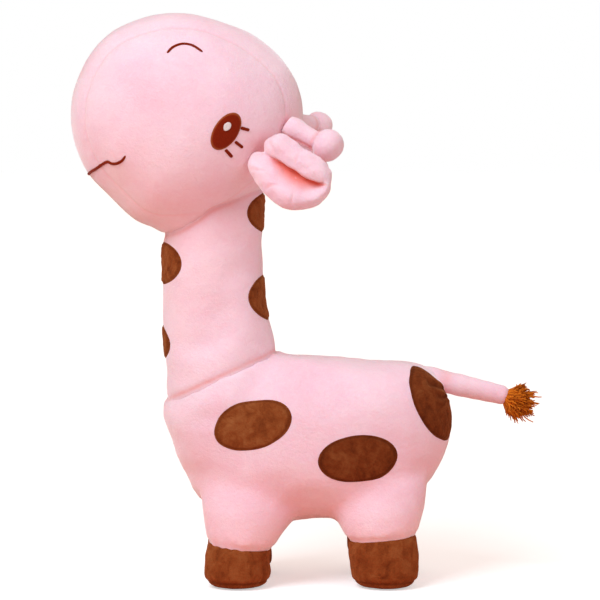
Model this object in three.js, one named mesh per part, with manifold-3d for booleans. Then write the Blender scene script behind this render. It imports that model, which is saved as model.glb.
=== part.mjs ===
// A stuffed toy giraffe that stands on four flat soles. Plush panels are sewn round polyester filling,
// with appliqué spots, a stitched face, folded ears, two horns with padded knobs, and a tail with a
// yarn tuft. Millimetres, +Z up. The head faces -X, and the giraffe's own left side is towards -Y.
import * as THREE from "three";
import { mergeVertices } from "three/addons/utils/BufferGeometryUtils.js";
import Module from "manifold-3d";

const wasm = await Module();
wasm.setup();

const DEGREE = Math.PI / 180;
const TURN = 2 * Math.PI;
const SIDES = [
  { name: "left", sign: -1 },
  { name: "right", sign: 1 },
];

// Cloth and sewing
const cloth = {
  wall: 2.4, // plush fabric with its pile
  gap: 0.35, // between pieces that are sewn together
  seamDip: 1, // how far a seam draws the surface in
  probe: 0.05, // step along a surface for finding its normal
};

const fillingInset = cloth.wall + cloth.gap;

// Torso, a pillow whose side outline runs anticlockwise from the rump over the back to the chest
const torso = {
  halfLength: 98,
  halfHeight: 58,
  halfWidth: 52,
  bellyHeight: 42.5, // above the floor
  fullnessShare: 0.84,
  outlineShares: [
    1.012, 1.11, 1.23, 1.08, 1.03, 1.145, 1.175, 1.135, 0.968, 0.952, 1.07, 1.01, 0.965, 0.97,
    1.035, 1,
  ],
  panelRowShares: [0.1, 0.22, 0.36, 0.52, 0.68, 0.84],
};

// Neck, a tube from the torso's shoulder up into the head
const neck = {
  seatAngle: 120 * DEGREE, // place on the torso's outline
  headSeatAngle: 284 * DEGREE, // place on the head's outline
  length: 93, // between these two places
  tuck: 33, // run past each of them before it is cut
  halfDepth: 35.5,
  halfWidth: 35,
  lean: -9.7, // forwards, at the top
  leanShares: [-0.43, 0, 0.46, 0.82, 1, 1, 1, 0.93],
  depthShares: [1.21, 1.13, 1.06, 1.02, 1, 1, 0.99, 0.98],
};

// Head, a pillow of two cheek panels with a gusset that runs all round between them
const head = {
  halfLength: 78,
  halfHeight: 78,
  halfWidth: 66,
  fullnessShare: 0.94,
  seamAngle: 31 * DEGREE,
  outlineShares: [
    1.025, 1.03, 0.985, 0.963, 0.976, 1.003, 1.06, 1.052, 1.038, 0.994, 0.958, 1, 0.94, 0.905,
    0.896, 0.958,
  ],
  cheekRowShares: [0.14, 0.32, 0.52, 0.74],
  gussetRowShares: [-0.8, -0.4, 0, 0.4, 0.8],
};

// Legs, tubes that widen into the torso and end in a hoof and a sole
const leg = {
  halfWidth: 22,
  sideShare: 0.56, // of the torso's half width, at the hoof
  topShare: 0.75, // of the torso's half height, above the belly
  frontLean: 9, // of the front legs' tops, backwards
  hindLean: -3.1,
  sideShares: [1, 1, 1, 0.98, 0.95, 0.89, 0.8, 0.7, 0.6],
  widthShares: [1, 1, 1, 1.02, 1.07, 1.09, 1.06, 1, 0.9],
};
const hoof = {
  halfDepth: 22.8,
  edgeRadius: 10.5, // round its foot
  soleHeight: 4.6, // of the seam round the sole
  frontHeight: 29, // of the seam above the front hooves
  hindHeight: 35,
};
const legPairs = [
  {
    name: "front",
    placeShare: -0.5, // of the torso's half length
    hoofHeight: hoof.frontHeight,
    lean: leg.frontLean,
    seamSlopeShare: -0.13,
    leanShares: [0, 0, 0, 0.31, 0.61, 0.84, 0.92, 1, 1],
    depthShares: [1, 1, 1, 1.08, 1.27, 1.43, 1.49, 1.46, 1.33],
  },
  {
    name: "hind",
    placeShare: 0.54,
    hoofHeight: hoof.hindHeight,
    lean: leg.hindLean,
    seamSlopeShare: 0.09,
    leanShares: [0, 0, 0.33, 0.66, 1, 1, 0.8, 0.5, 0.3],
    depthShares: [1.015, 1.015, 1.045, 1.09, 1.23, 1.36, 1.39, 1.39, 1.33],
  },
];

// Ears, leaf-shaped pads folded lengthways, each on a rounded root that lies in a dent of the cheek
const ear = {
  seatAngle: -19.6 * DEGREE,
  seatTilt: 44.7 * DEGREE,
  length: 52,
  halfWidth: 27, // along the folded cloth
  thickness: 15.5,
  plumpShare: 0.75, // how round the folded edges are, where 1 is an ellipse
  foldAngle: 120 * DEGREE, // each half, at the fullest place
  twist: 10 * DEGREE, // of the fold's opening, down towards the neck
  rootRadius: 4.6,
  rootHalfLength: 7,
  rootSink: 1.4,
  backwards: 0.82, // direction of the tip seen from the root
  outwards: 0.2,
  downwards: 0.5,
  bowShare: 0.22, // how far the middle bows away from the head
  widthShares: [0.5, 0.9, 1.05, 1.05, 1, 0.85, 0.52],
  thicknessShares: [0.72, 0.95, 1, 1, 1, 0.95, 0.66],
  foldShares: [0.25, 0.75, 1, 1, 0.92, 0.8, 0.66],
  lastRowShare: 0.94, // of the length, at the row before the tip
};

// Horns, round stalks with a padded knob, each on a ball root that lies in a dent of the head's seam
const horn = {
  seatAngle: -1 * DEGREE,
  seatTilt: 28.5 * DEGREE,
  radius: 6,
  rootSink: 1.9,
  length: 29, // from the root's centre to the knob's
  knobRadius: 12.2,
  knobLengthShare: 0.93,
};
const hornAims = [
  { droop: 32 * DEGREE, splay: 14 * DEGREE },
  { droop: 8 * DEGREE, splay: 57 * DEGREE },
];

// Tail, a stuffed tube on a ball root in a dent of the rump, with a tuft of yarn on its round end
const tail = {
  seatAngle: 33 * DEGREE,
  radius: 8.2,
  endRadius: 6.4,
  length: 33, // between the two ball centres
  droop: 13 * DEGREE,
  sagShare: 0.05,
  rootSink: 1.2,
};
const tuft = {
  length: 27,
  radius: 13.5,
  droop: 23 * DEGREE,
  collarAngle: 58 * DEGREE, // how far it wraps the tail's end
  strands: 9,
  strandDepthShare: 0.34,
  strandEndShare: 0.4, // how much of a groove's depth also shortens the yarn there
  hollowShare: 0.84, // of the length, at the middle of the strands' ends
};

// Spots, ovals of brown plush stitched on the neck, flanks and rump
const spot = { thickness: 1.2, lift: 0.55, semiLong: 27.4, semiShort: 16.4 };
const flankSpots = [
  { name: "shoulder", xShare: -0.387, zShare: 0.266, tilt: 17 * DEGREE },
  { name: "belly", xShare: 0.342, zShare: -0.13, tilt: 5 * DEGREE },
];
const rumpSpot = {
  seatAngle: 26 * DEGREE,
  seatTilt: 30 * DEGREE,
  tilt: 4 * DEGREE,
};
const neckSpot = { semiHigh: 15, semiWide: 27 };
const neckSpots = [
  { name: "throat_upper", lengthShare: 0.705, angle: 192 * DEGREE, highShare: 1, wideShare: 1 },
  { name: "throat_lower", lengthShare: 0.105, angle: 166 * DEGREE, highShare: 0.853, wideShare: 1.11 },
  { name: "nape_upper", lengthShare: 1.08, angle: -7 * DEGREE, highShare: 0.947, wideShare: 0.948 },
  { name: "nape_lower", lengthShare: 0.448, angle: -8 * DEGREE, highShare: 1.04, wideShare: 0.963 },
];

// Face, embroidered in brown thread
const thread = { thickness: 0.9, halfWidth: 1.15, topShare: 0.7, endShare: 0.6 };
const eye = {
  xShare: 0.373, // of the head's half length
  zShare: -0.071,
  semiLong: 14.6,
  semiShort: 8.4,
  tilt: 56 * DEGREE,
  highlightSemi: 2.9,
  highlightXShare: -0.02, // of its own long half
  highlightZShare: 0.17,
};
// Each lash runs between two places, as shares of the eye's long half from its centre
const lashShares = [
  { from: [0.76, 0.14], to: [1.1, 0.04] },
  { from: [0.43, -0.53], to: [0.78, -0.79] },
  { from: [-0.03, -0.91], to: [0.27, -1.24] },
];
// The nostril's arc, as shares of the head's half length and half height
const nostrilShares = [
  [-0.128, 0.587],
  [-0.073, 0.642],
  [0.007, 0.667],
  [0.097, 0.652],
  [0.178, 0.597],
];
// Half of the mouth, from its corner on the cheek to the middle: place round the head, then tilt
const mouthAngles = [
  [209 * DEGREE, 56 * DEGREE],
  [210.2 * DEGREE, 49 * DEGREE],
  [210.2 * DEGREE, 42 * DEGREE],
  [208.2 * DEGREE, 36 * DEGREE],
  [207.8 * DEGREE, 24 * DEGREE],
  [207.4 * DEGREE, 12 * DEGREE],
];

// How finely the surfaces are divided
const detail = {
  torsoAround: 32,
  headAround: 32,
  neckAround: 24,
  neckRows: 11,
  legAround: 16,
  legRows: 3, // from the belly's height up
  earAround: 14,
  ballRows: 4,
  barRows: 3,
  collarRows: 3,
  limbAround: 12,
  limbRowShares: [0.25, 0.5, 0.75],
  patchAround: 16,
  patchTopShares: [0.5, 0.9],
  patchBaseShares: [0.98, 0.75, 0.5, 0.25],
};

// Plush and thread
const finishes = {
  plush: new THREE.MeshStandardMaterial({ color: 0xf7d2dc, roughness: 0.95, metalness: 0 }),
  brownPlush: new THREE.MeshStandardMaterial({ color: 0x7a3e1e, roughness: 0.9, metalness: 0 }),
  brownThread: new THREE.MeshStandardMaterial({ color: 0x7d3216, roughness: 0.6, metalness: 0 }),
  paleThread: new THREE.MeshStandardMaterial({ color: 0xf3e6e4, roughness: 0.6, metalness: 0 }),
  yarn: new THREE.MeshStandardMaterial({ color: 0xb9560f, roughness: 0.85, metalness: 0 }),
  filling: new THREE.MeshStandardMaterial({ color: 0xf4f2ec, roughness: 1, metalness: 0 }),
};

// Smooth value of a table whose entries stand at equal steps round a full turn.
function shareAround(shares, angle) {
  const count = shares.length;
  const place = ((((angle / TURN) % 1) + 1) % 1) * count;
  const first = Math.floor(place);
  return blend(
    [-1, 0, 1, 2].map((step) => shares[(first + step + count) % count]),
    place - first,
  );
}

// Smooth value of a table whose entries stand at equal steps from 0 to 1.
function shareAlong(shares, along) {
  const last = shares.length - 1;
  const place = Math.min(Math.max(along, 0), 1) * last;
  const first = Math.min(Math.floor(place), last - 1);
  return blend(
    [-1, 0, 1, 2].map((step) => shares[Math.min(Math.max(first + step, 0), last)]),
    place - first,
  );
}

// Cubic through the two middle values of four, at part f of the way between them.
function blend([a, b, c, d], f) {
  return b + 0.5 * f * (c - a + f * (2 * a - 5 * b + 4 * c - d + f * (3 * (b - c) + d - a)));
}

// A point of a pillow: angle runs round its side outline, tilt from the middle (0) out to a flank.
function pillowPoint(form, angle, tilt, inset = 0) {
  const share = shareAround(form.outlineShares, angle);
  const across = Math.max(Math.cos(tilt), 0) ** form.fullnessShare;
  const out = Math.sign(tilt) * Math.abs(Math.sin(tilt)) ** form.fullnessShare;
  return new THREE.Vector3(
    form.centre.x + (form.halfLength * share - inset) * across * Math.cos(angle),
    form.centre.y + (form.halfWidth - inset) * out,
    form.centre.z + (form.halfHeight * share - inset) * across * Math.sin(angle),
  );
}

// A pillow's flank as a surface over the side view, with both places measured from its centre.
function flankSurface(form, sign) {
  return (x, z) => {
    const [xShare, zShare] = [x / form.halfLength, z / form.halfHeight];
    const share = shareAround(form.outlineShares, Math.atan2(zShare, xShare));
    const reach = Math.min(Math.hypot(xShare, zShare) / share, 1);
    const out = (1 - reach ** (2 / form.fullnessShare)) ** (form.fullnessShare / 2);
    return new THREE.Vector3(form.centre.x + x, sign * form.halfWidth * out, form.centre.z + z);
  };
}

// A surface given by two angles, unrolled round one of its points into real lengths.
function unrolled(pointAt, first, second, step) {
  const here = pointAt(first, second);
  const firstRate = pointAt(first + step, second).distanceTo(here) / step;
  const secondRate = pointAt(first, second + step).distanceTo(here) / step;
  return (a, b) => pointAt(first + a / firstRate, second + b / secondRate);
}

// A point of a tube that stands up: along runs from its foot (0) to its top (1), angle round it.
function tubePoint(tube, along, angle, inset = 0) {
  const centre = tube.centreAt(along);
  const [depth, width] = tube.radiiAt(along, inset);
  return new THREE.Vector3(
    centre.x + depth * Math.cos(angle),
    centre.y + width * Math.sin(angle),
    centre.z + tube.slopeAt(along) * depth * Math.cos(angle),
  );
}

// A point lifted off a surface along its normal, away from a point inside the form.
function lifted(surface, a, b, lift, inside) {
  const point = surface(a, b);
  const alongA = surface(a + cloth.probe, b).sub(point);
  const alongB = surface(a, b + cloth.probe).sub(point);
  const normal = alongA.cross(alongB).normalize();
  if (normal.dot(point.clone().sub(inside)) < 0) normal.negate();
  return point.addScaledVector(normal, lift);
}

// Signed volume of an indexed surface.
function signedVolume(points, faces) {
  const cross = new THREE.Vector3();
  let total = 0;
  for (let i = 0; i < faces.length; i += 3) {
    const [a, b, c] = [points[faces[i]], points[faces[i + 1]], points[faces[i + 2]]];
    total += a.dot(cross.crossVectors(b, c)) / 6;
  }
  return total;
}

// A closed surface over rings of equally many points. With two poles it is capped there, and
// without them the last ring joins the first, as on an open-ended shell.
function skin(rings, poles = null) {
  const points = rings.flat();
  const count = rings[0].length;
  const faces = [];
  const links = poles ? rings.length - 1 : rings.length;
  for (let row = 0; row < links; row++) {
    const next = (row + 1) % rings.length;
    for (let i = 0; i < count; i++) {
      const j = (i + 1) % count;
      const [a, b, c, d] = [row * count + i, row * count + j, next * count + i, next * count + j];
      faces.push(a, b, d, a, d, c);
    }
  }
  if (poles) {
    const [start, end] = [points.length, points.length + 1];
    points.push(...poles);
    const lastRow = (rings.length - 1) * count;
    for (let i = 0; i < count; i++) {
      const j = (i + 1) % count;
      faces.push(start, j, i, end, lastRow + i, lastRow + j);
    }
  }
  if (signedVolume(points, faces) < 0) faces.reverse();
  const geometry = new THREE.BufferGeometry().setFromPoints(points);
  geometry.setIndex(faces);
  return geometry;
}

// A geometry as a solid for cutting and joining, and back.
function solidOf(geometry) {
  const bare = geometry.clone();
  bare.deleteAttribute("normal");
  bare.deleteAttribute("uv");
  const merged = mergeVertices(bare);
  return new wasm.Manifold(
    new wasm.Mesh({
      numProp: 3,
      vertProperties: merged.attributes.position.array,
      triVerts: new Uint32Array(merged.index.array),
    }),
  );
}
function geometryOf(solid) {
  const mesh = solid.getMesh();
  const geometry = new THREE.BufferGeometry();
  geometry.setAttribute("position", new THREE.BufferAttribute(mesh.vertProperties, 3));
  geometry.setIndex(new THREE.BufferAttribute(mesh.triVerts, 1));
  return geometry;
}
function cut(geometry, ...cutters) {
  return geometryOf(cutters.reduce((solid, cutter) => solid.subtract(cutter), solidOf(geometry)));
}

// Points at equal steps round a full turn.
function ring(count, pointAt) {
  return Array.from({ length: count }, (_, i) => pointAt((i * TURN) / count));
}

// The mean of some points.
function middleOf(points) {
  return points
    .reduce((sum, point) => sum.add(point), new THREE.Vector3())
    .divideScalar(points.length);
}

// Numbers at equal steps from one value to another.
function steps(from, to, count) {
  return Array.from({ length: count + 1 }, (_, i) => from + ((to - from) * i) / count);
}

// A whole pillow grown or shrunk by an inset, on the same rows as the covers that it is set against.
function pillowSkin(form, tilts, around, inset) {
  const rings = tilts.map((tilt) => ring(around, (angle) => pillowPoint(form, angle, tilt, inset)));
  const poles = [-1, 1].map((sign) => pillowPoint(form, 0, (sign * TURN) / 4, inset));
  return skin(rings, poles);
}

// Every other row, as the inner faces of covers and their fillings have them.
function alternate(rows) {
  return rows.filter((_, i) => i % 2 === 0);
}

// Rows of tilt from a seam out to a flank, as shares of what lies between them.
function rowsOut(seamTilt, shares) {
  return shares.map((share) => seamTilt + share * (TURN / 4 - seamTilt));
}

// One flank of a pillow as a bowl of cloth, from its seam out to the pole of its flank.
function bowl(form, sign, seamTilt, rowShares, around) {
  const pointAt = (angle, tilt, inset) => pillowPoint(form, angle, sign * tilt, inset);
  const seamOffset = new THREE.Vector3(0, (sign * cloth.gap) / 2, 0);
  const seamRing = (inset) =>
    ring(around, (angle) => pointAt(angle, seamTilt, inset).add(seamOffset));
  const rows = rowsOut(seamTilt, rowShares);
  const wallRing = (tilt, inset) => ring(around, (angle) => pointAt(angle, tilt, inset));
  const outer = [...rows].reverse().map((tilt) => wallRing(tilt, 0));
  const inner = alternate([seamTilt, ...rows]).slice(1).map((tilt) => wallRing(tilt, cloth.wall));
  const poles = [0, cloth.wall].map((inset) => pointAt(0, TURN / 4, inset));
  return skin([...outer, seamRing(cloth.seamDip), seamRing(cloth.wall), ...inner], poles);
}

// The tube-like solid of an upright form between two places, as a shell of cloth or as filling.
function tubeShell(tube, alongs, around) {
  const rowsAt = (inset, places) =>
    places.map((along) => ring(around, (angle) => tubePoint(tube, along, angle, inset)));
  return skin([...rowsAt(0, alongs), ...rowsAt(cloth.wall, [...alongs].reverse())]);
}
function tubeCore(tube, alongs, around, foot = null) {
  const rings = alongs.map((along) =>
    ring(around, (angle) => tubePoint(tube, along, angle, fillingInset)),
  );
  if (foot) rings.unshift(foot);
  return skin(rings, [middleOf(rings[0]), tube.centreAt(alongs.at(-1))]);
}

// A thin oval piece that follows a surface, with a rounded edge.
function ovalPatch(surface, inside, shape, around) {
  const { a, b, semiLong, semiShort, tilt, thickness, lift: base } = shape;
  const pointAt = (share, lift) => (angle) => {
    const [u, v] = [share * semiLong * Math.cos(angle), share * semiShort * Math.sin(angle)];
    const across = a + u * Math.cos(tilt) - v * Math.sin(tilt);
    const up = b + u * Math.sin(tilt) + v * Math.cos(tilt);
    return lifted(surface, across, up, lift, inside);
  };
  const top = base + thickness;
  const rows = [
    ...detail.patchTopShares.map((share) => [share, top]),
    [1, base + thickness / 2],
    ...detail.patchBaseShares.map((share) => [share, base]),
  ];
  const rings = rows.map(([share, lift]) => ring(around, pointAt(share, lift)));
  return skin(rings, [pointAt(0, top)(0), pointAt(0, base)(0)]);
}

// A line of thread along places on a surface, with tapered ends.
function threadLine(surface, inside, places) {
  const last = places.length - 1;
  const rings = places.map(([a, b], i) => {
    const [before, after] = [places[Math.max(i - 1, 0)], places[Math.min(i + 1, last)]];
    const [runA, runB] = [after[0] - before[0], after[1] - before[1]];
    const width = (i === 0 || i === last ? thread.endShare : 1) * thread.halfWidth;
    const [acrossA, acrossB] = [-runB, runA].map((run) => (run * width) / Math.hypot(runA, runB));
    const low = cloth.gap;
    const high = cloth.gap + thread.thickness;
    return [
      [1, low],
      [thread.topShare, high],
      [-thread.topShare, high],
      [-1, low],
    ].map(([side, lift]) => lifted(surface, a + side * acrossA, b + side * acrossB, lift, inside));
  });
  return skin(rings, [middleOf(rings[0]), middleOf(rings[last])]);
}

// A ball as a solid.
function ball(radius, centre, around = detail.limbAround * 2) {
  const geometry = new THREE.SphereGeometry(radius, around, around / 2);
  geometry.translate(centre.x, centre.y, centre.z);
  return solidOf(geometry);
}

// A tube of round section along a curve between two ball centres, its ends rounded as balls.
function roundedTube(curve, radiusAt, around) {
  const startAxis = curve.getTangent(0);
  const endAxis = curve.getTangent(1);
  const side = new THREE.Vector3(0, 1, 0);
  const ringAt = (centre, axis, radius) => {
    const up = new THREE.Vector3().crossVectors(axis, side).normalize();
    const across = new THREE.Vector3().crossVectors(up, axis).normalize();
    return ring(around, (angle) =>
      centre
        .clone()
        .addScaledVector(across, radius * Math.cos(angle))
        .addScaledVector(up, radius * Math.sin(angle)),
    );
  };
  const capRow = (centre, axis, radius, angle) =>
    ringAt(
      centre.clone().addScaledVector(axis, -radius * Math.cos(angle)),
      axis,
      radius * Math.sin(angle),
    );
  const capAngles = steps(0, TURN / 4, detail.ballRows).slice(1);
  const [start, end] = [curve.getPoint(0), curve.getPoint(1)];
  const rings = [
    ...capAngles.map((angle) => capRow(start, startAxis, radiusAt(0), angle)),
    ...detail.limbRowShares.map((t) => ringAt(curve.getPoint(t), curve.getTangent(t), radiusAt(t))),
    ...[...capAngles].reverse().map((a) => capRow(end, endAxis, radiusAt(1), TURN / 2 - a)),
  ];
  return skin(rings, [
    start.clone().addScaledVector(startAxis, -radiusAt(0)),
    end.clone().addScaledVector(endAxis, radiusAt(1)),
  ]);
}

// The outward normal of a pillow at a place given by its two angles.
function pillowNormal(form, angle, tilt) {
  const surface = unrolled((a, b) => pillowPoint(form, a, b), angle, tilt, cloth.probe * DEGREE);
  const point = surface(0, 0);
  return lifted(surface, 0, 0, cloth.gap, form.centre).sub(point).normalize();
}

// Where a round root rests in its dent: its centre, and the dent that is cut from the covers.
function rootSeat(form, angle, tilt, radius, sink) {
  const normal = pillowNormal(form, angle, tilt);
  const point = pillowPoint(form, angle, tilt);
  const centre = point.clone().addScaledVector(normal, radius + cloth.gap - sink);
  return { centre, normal, radius: radius + cloth.gap };
}

// The torso hangs over the floor, the neck stands on its shoulder, and the head sits on the neck.
torso.centre = new THREE.Vector3(
  0,
  0,
  torso.bellyHeight + torso.halfHeight * shareAround(torso.outlineShares, 0.75 * TURN),
);
const neckFoot = pillowPoint(torso, neck.seatAngle, 0);
const neckHeight = neck.length + 2 * neck.tuck;
neck.centreAt = (along) =>
  new THREE.Vector3(
    neckFoot.x + neck.lean * shareAlong(neck.leanShares, along),
    0,
    neckFoot.z - neck.tuck + along * neckHeight,
  );
neck.radiiAt = (along, inset) =>
  [neck.halfDepth, neck.halfWidth].map(
    (half) => half * shareAlong(neck.depthShares, along) - inset,
  );
neck.slopeAt = () => 0;
head.centre = new THREE.Vector3();
const neckTop = neck.centreAt(1 - neck.tuck / neckHeight);
head.centre.subVectors(neckTop, pillowPoint(head, neck.headSeatAngle, 0));

// One leg with its hoof as an upright form. The rounded foot draws its radius in near the floor.
function legForm(pair, sign) {
  const height = torso.bellyHeight + leg.topShare * torso.halfHeight;
  const sideways = sign * leg.sideShare * torso.halfWidth;
  const footAt = (z) => {
    const share = Math.min(z / hoof.edgeRadius, 1);
    return hoof.edgeRadius * (1 - Math.sqrt(1 - (1 - share) ** 2));
  };
  return {
    height,
    centreAt: (along) =>
      new THREE.Vector3(
        pair.placeShare * torso.halfLength + pair.lean * shareAlong(pair.leanShares, along),
        sideways * shareAlong(leg.sideShares, along),
        along * height,
      ),
    radiiAt: (along, inset) => {
      const drawnIn = footAt(along * height) + inset;
      return [
        hoof.halfDepth * shareAlong(pair.depthShares, along) - drawnIn,
        leg.halfWidth * shareAlong(leg.widthShares, along) - drawnIn,
      ];
    },
    // The seam of the hoof slopes, and the slope fades to nothing at the sole and at the top.
    slopeAt: (along) => {
      const z = along * height;
      const rise = Math.max((z - hoof.edgeRadius) / (pair.hoofHeight - hoof.edgeRadius), 0);
      const fall = (height - z) / (height - pair.hoofHeight);
      return pair.seamSlopeShare * Math.min(rise, fall, 1);
    },
  };
}

// The model is a scene graph with one named mesh for each sub-part.
const model = new THREE.Group();
function add(name, geometry, finish) {
  const mesh = new THREE.Mesh(geometry, finish);
  mesh.name = name;
  model.add(mesh);
}

// Grown copies of the torso and the head, which cut what is sewn to them
const torsoTilts = rowsOut(0, torso.panelRowShares);
const torsoRows = [...torsoTilts.map((tilt) => -tilt).reverse(), 0, ...torsoTilts];
const grownTorso = solidOf(pillowSkin(torso, torsoRows, detail.torsoAround, -cloth.gap));
const cheekTilts = [head.seamAngle, ...rowsOut(head.seamAngle, head.cheekRowShares)];
const gussetTilts = head.gussetRowShares.map((share) => share * head.seamAngle);
const headRows = [
  ...cheekTilts.map((tilt) => -tilt).reverse(),
  ...gussetTilts,
  ...cheekTilts,
];
const grownHead = solidOf(pillowSkin(head, headRows, detail.headAround, -cloth.gap));

// Seats of the ears, horns and tail, worked out first because their dents are cut from the covers
function earSeat(sign) {
  const tilt = sign * ear.seatTilt;
  const seat = rootSeat(head, ear.seatAngle, tilt, ear.rootRadius, ear.rootSink);
  const aim = new THREE.Vector3(ear.backwards, sign * ear.outwards, -ear.downwards).normalize();
  const axis = new THREE.Vector3().crossVectors(aim, seat.normal).normalize();
  if (axis.z < 0) axis.negate();
  return { ...seat, aim, axis };
}
// A bar with round ends along an axis, as the root of an ear or the dent that it lies in.
function rootBar(seat, radius) {
  const bar = new THREE.CapsuleGeometry(radius, 2 * ear.rootHalfLength, detail.barRows, detail.limbAround);
  const turned = new THREE.Quaternion().setFromUnitVectors(new THREE.Vector3(0, 1, 0), seat.axis);
  bar.applyQuaternion(turned);
  bar.translate(seat.centre.x, seat.centre.y, seat.centre.z);
  return solidOf(bar);
}
const earSeats = SIDES.map(({ sign }) => earSeat(sign));
const hornSeats = SIDES.map(({ sign }) =>
  rootSeat(head, horn.seatAngle, sign * horn.seatTilt, horn.radius, horn.rootSink),
);
const tailSeat = rootSeat(torso, tail.seatAngle, 0, tail.radius, tail.rootSink);

// Head covers and filling
SIDES.forEach(({ name, sign }, i) => {
  const cheek = bowl(head, sign, head.seamAngle, head.cheekRowShares, detail.headAround);
  const dents = [
    rootBar(earSeats[i], earSeats[i].radius),
    ball(hornSeats[i].radius, hornSeats[i].centre),
  ];
  add(`head_side_${name}`, cut(cheek, ...dents), finishes.plush);
});
function gussetSkin() {
  const edge = (sign, inset) =>
    ring(detail.headAround, (angle) =>
      pillowPoint(head, angle, sign * head.seamAngle, inset).add(
        new THREE.Vector3(0, (-sign * cloth.gap) / 2, 0),
      ),
    );
  const rows = (tilts, inset) =>
    tilts.map((tilt) => ring(detail.headAround, (angle) => pillowPoint(head, angle, tilt, inset)));
  const innerTilts = alternate(gussetTilts).reverse();
  return skin([
    edge(-1, cloth.seamDip),
    ...rows(gussetTilts, 0),
    edge(1, cloth.seamDip),
    edge(1, cloth.wall),
    ...rows(innerTilts, cloth.wall),
    edge(-1, cloth.wall),
  ]);
}
const hornDents = hornSeats.map((seat) => ball(seat.radius, seat.centre));
add("head_gusset", cut(gussetSkin(), ...hornDents), finishes.plush);
const headFillingRows = [
  ...alternate(cheekTilts).map((tilt) => -tilt).reverse(),
  ...alternate(gussetTilts),
  ...alternate(cheekTilts),
];
add(
  "head_filling",
  pillowSkin(head, headFillingRows, detail.headAround / 2, fillingInset),
  finishes.filling,
);

// Torso covers and filling
SIDES.forEach(({ name, sign }) => {
  const panel = bowl(torso, sign, 0, torso.panelRowShares, detail.torsoAround);
  add(`body_side_${name}`, cut(panel, ball(tailSeat.radius, tailSeat.centre)), finishes.plush);
});
add(
  "body_filling",
  pillowSkin(torso, alternate(torsoRows), detail.torsoAround / 2, fillingInset),
  finishes.filling,
);

// Neck cover and filling, cut by the head and the torso
const neckAlongs = steps(0, 1, detail.neckRows);
const neckShell = tubeShell(neck, neckAlongs, detail.neckAround);
add("neck_cover", cut(neckShell, grownTorso, grownHead), finishes.plush);
const neckCore = tubeCore(neck, neckAlongs, detail.neckAround / 2);
add("neck_filling", cut(neckCore, grownTorso, grownHead), finishes.filling);

// Legs with their fillings, hooves and soles
for (const pair of legPairs) {
  for (const { name, sign } of SIDES) {
    const form = legForm(pair, sign);
    const place = `${pair.name}_${name}`;
    const at = (z) => z / form.height;
    const seam = cloth.gap / 2;
    const upper = [pair.hoofHeight + seam, (pair.hoofHeight + torso.bellyHeight) / 2];
    const flare = steps(torso.bellyHeight, form.height, detail.legRows);
    const legAlongs = [...upper, ...flare].map(at);
    add(
      `leg_cover_${place}`,
      cut(tubeShell(form, legAlongs, detail.legAround), grownTorso),
      finishes.plush,
    );
    const hoofAlongs = [
      hoof.soleHeight + seam,
      hoof.edgeRadius,
      (hoof.edgeRadius + pair.hoofHeight) / 2,
      pair.hoofHeight - seam,
    ].map(at);
    add(`hoof_cover_${place}`, tubeShell(form, hoofAlongs, detail.legAround), finishes.brownPlush);

    const soleRows = [0, hoof.soleHeight / 3, hoof.soleHeight - seam];
    const soleRing = (z, inset, raise) =>
      ring(detail.legAround, (angle) =>
        tubePoint(form, at(z), angle, inset).add(new THREE.Vector3(0, 0, raise)),
      );
    const innerSole = [hoof.soleHeight - seam, 0].map((z) =>
      soleRing(z, cloth.wall, z === 0 ? cloth.wall : 0),
    );
    const middle = form.centreAt(0);
    const soleTop = middle.clone().setZ(cloth.wall);
    add(
      `sole_${place}`,
      skin([...soleRows.map((z) => soleRing(z, 0, 0)), ...innerSole], [middle, soleTop]),
      finishes.brownPlush,
    );
    const coreAlongs = [
      hoof.soleHeight,
      hoof.edgeRadius,
      (hoof.edgeRadius + pair.hoofHeight) / 2,
      pair.hoofHeight,
      (pair.hoofHeight + torso.bellyHeight) / 2,
      torso.bellyHeight,
      form.height,
    ].map(at);
    const coreFoot = ring(detail.legAround / 2, (angle) =>
      tubePoint(form, 0, angle, fillingInset).setZ(fillingInset),
    );
    add(
      `leg_filling_${place}`,
      cut(tubeCore(form, coreAlongs, detail.legAround / 2, coreFoot), grownTorso),
      finishes.filling,
    );
  }
}

// Ears
SIDES.forEach(({ name, sign }, i) => {
  const seat = earSeats[i];
  const tip = seat.centre.clone().addScaledVector(seat.aim, ear.length);
  const bow = seat.centre
    .clone()
    .lerp(tip, 0.5)
    .addScaledVector(seat.normal, ear.bowShare * ear.length);
  const spine = new THREE.QuadraticBezierCurve3(seat.centre, bow, tip);
  const frameAt = (t) => {
    const along = spine.getTangent(t);
    const open = new THREE.Vector3().crossVectors(seat.axis, along).normalize();
    if (open.y * sign < 0) open.negate();
    open.applyAxisAngle(along, -sign * ear.twist * t);
    return { open, across: new THREE.Vector3().crossVectors(open, along).normalize() };
  };
  const plump = (value) => Math.sign(value) * Math.abs(value) ** ear.plumpShare;
  const last = ear.widthShares.length - 1;
  const alongs = steps(0, ear.lastRowShare, last);
  const rings = alongs.map((t, row) => {
    const { open, across } = frameAt(t);
    const half = ear.halfWidth * ear.widthShares[row];
    const thick = ear.thickness * ear.thicknessShares[row];
    const bendRadius = half / (ear.foldAngle * ear.foldShares[row]);
    return ring(detail.earAround, (angle) => {
      const reach = plump(Math.cos(angle)) * half;
      const depth = bendRadius - (plump(Math.sin(angle)) * thick) / 2;
      return spine
        .getPoint(t)
        .addScaledVector(across, depth * Math.sin(reach / bendRadius))
        .addScaledVector(open, bendRadius - depth * Math.cos(reach / bendRadius));
    });
  });
  const leaf = skin(rings, [seat.centre.clone(), tip]);
  const whole = solidOf(leaf).add(rootBar(seat, ear.rootRadius));
  add(`ear_${name}`, geometryOf(whole), finishes.plush);
});

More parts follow.
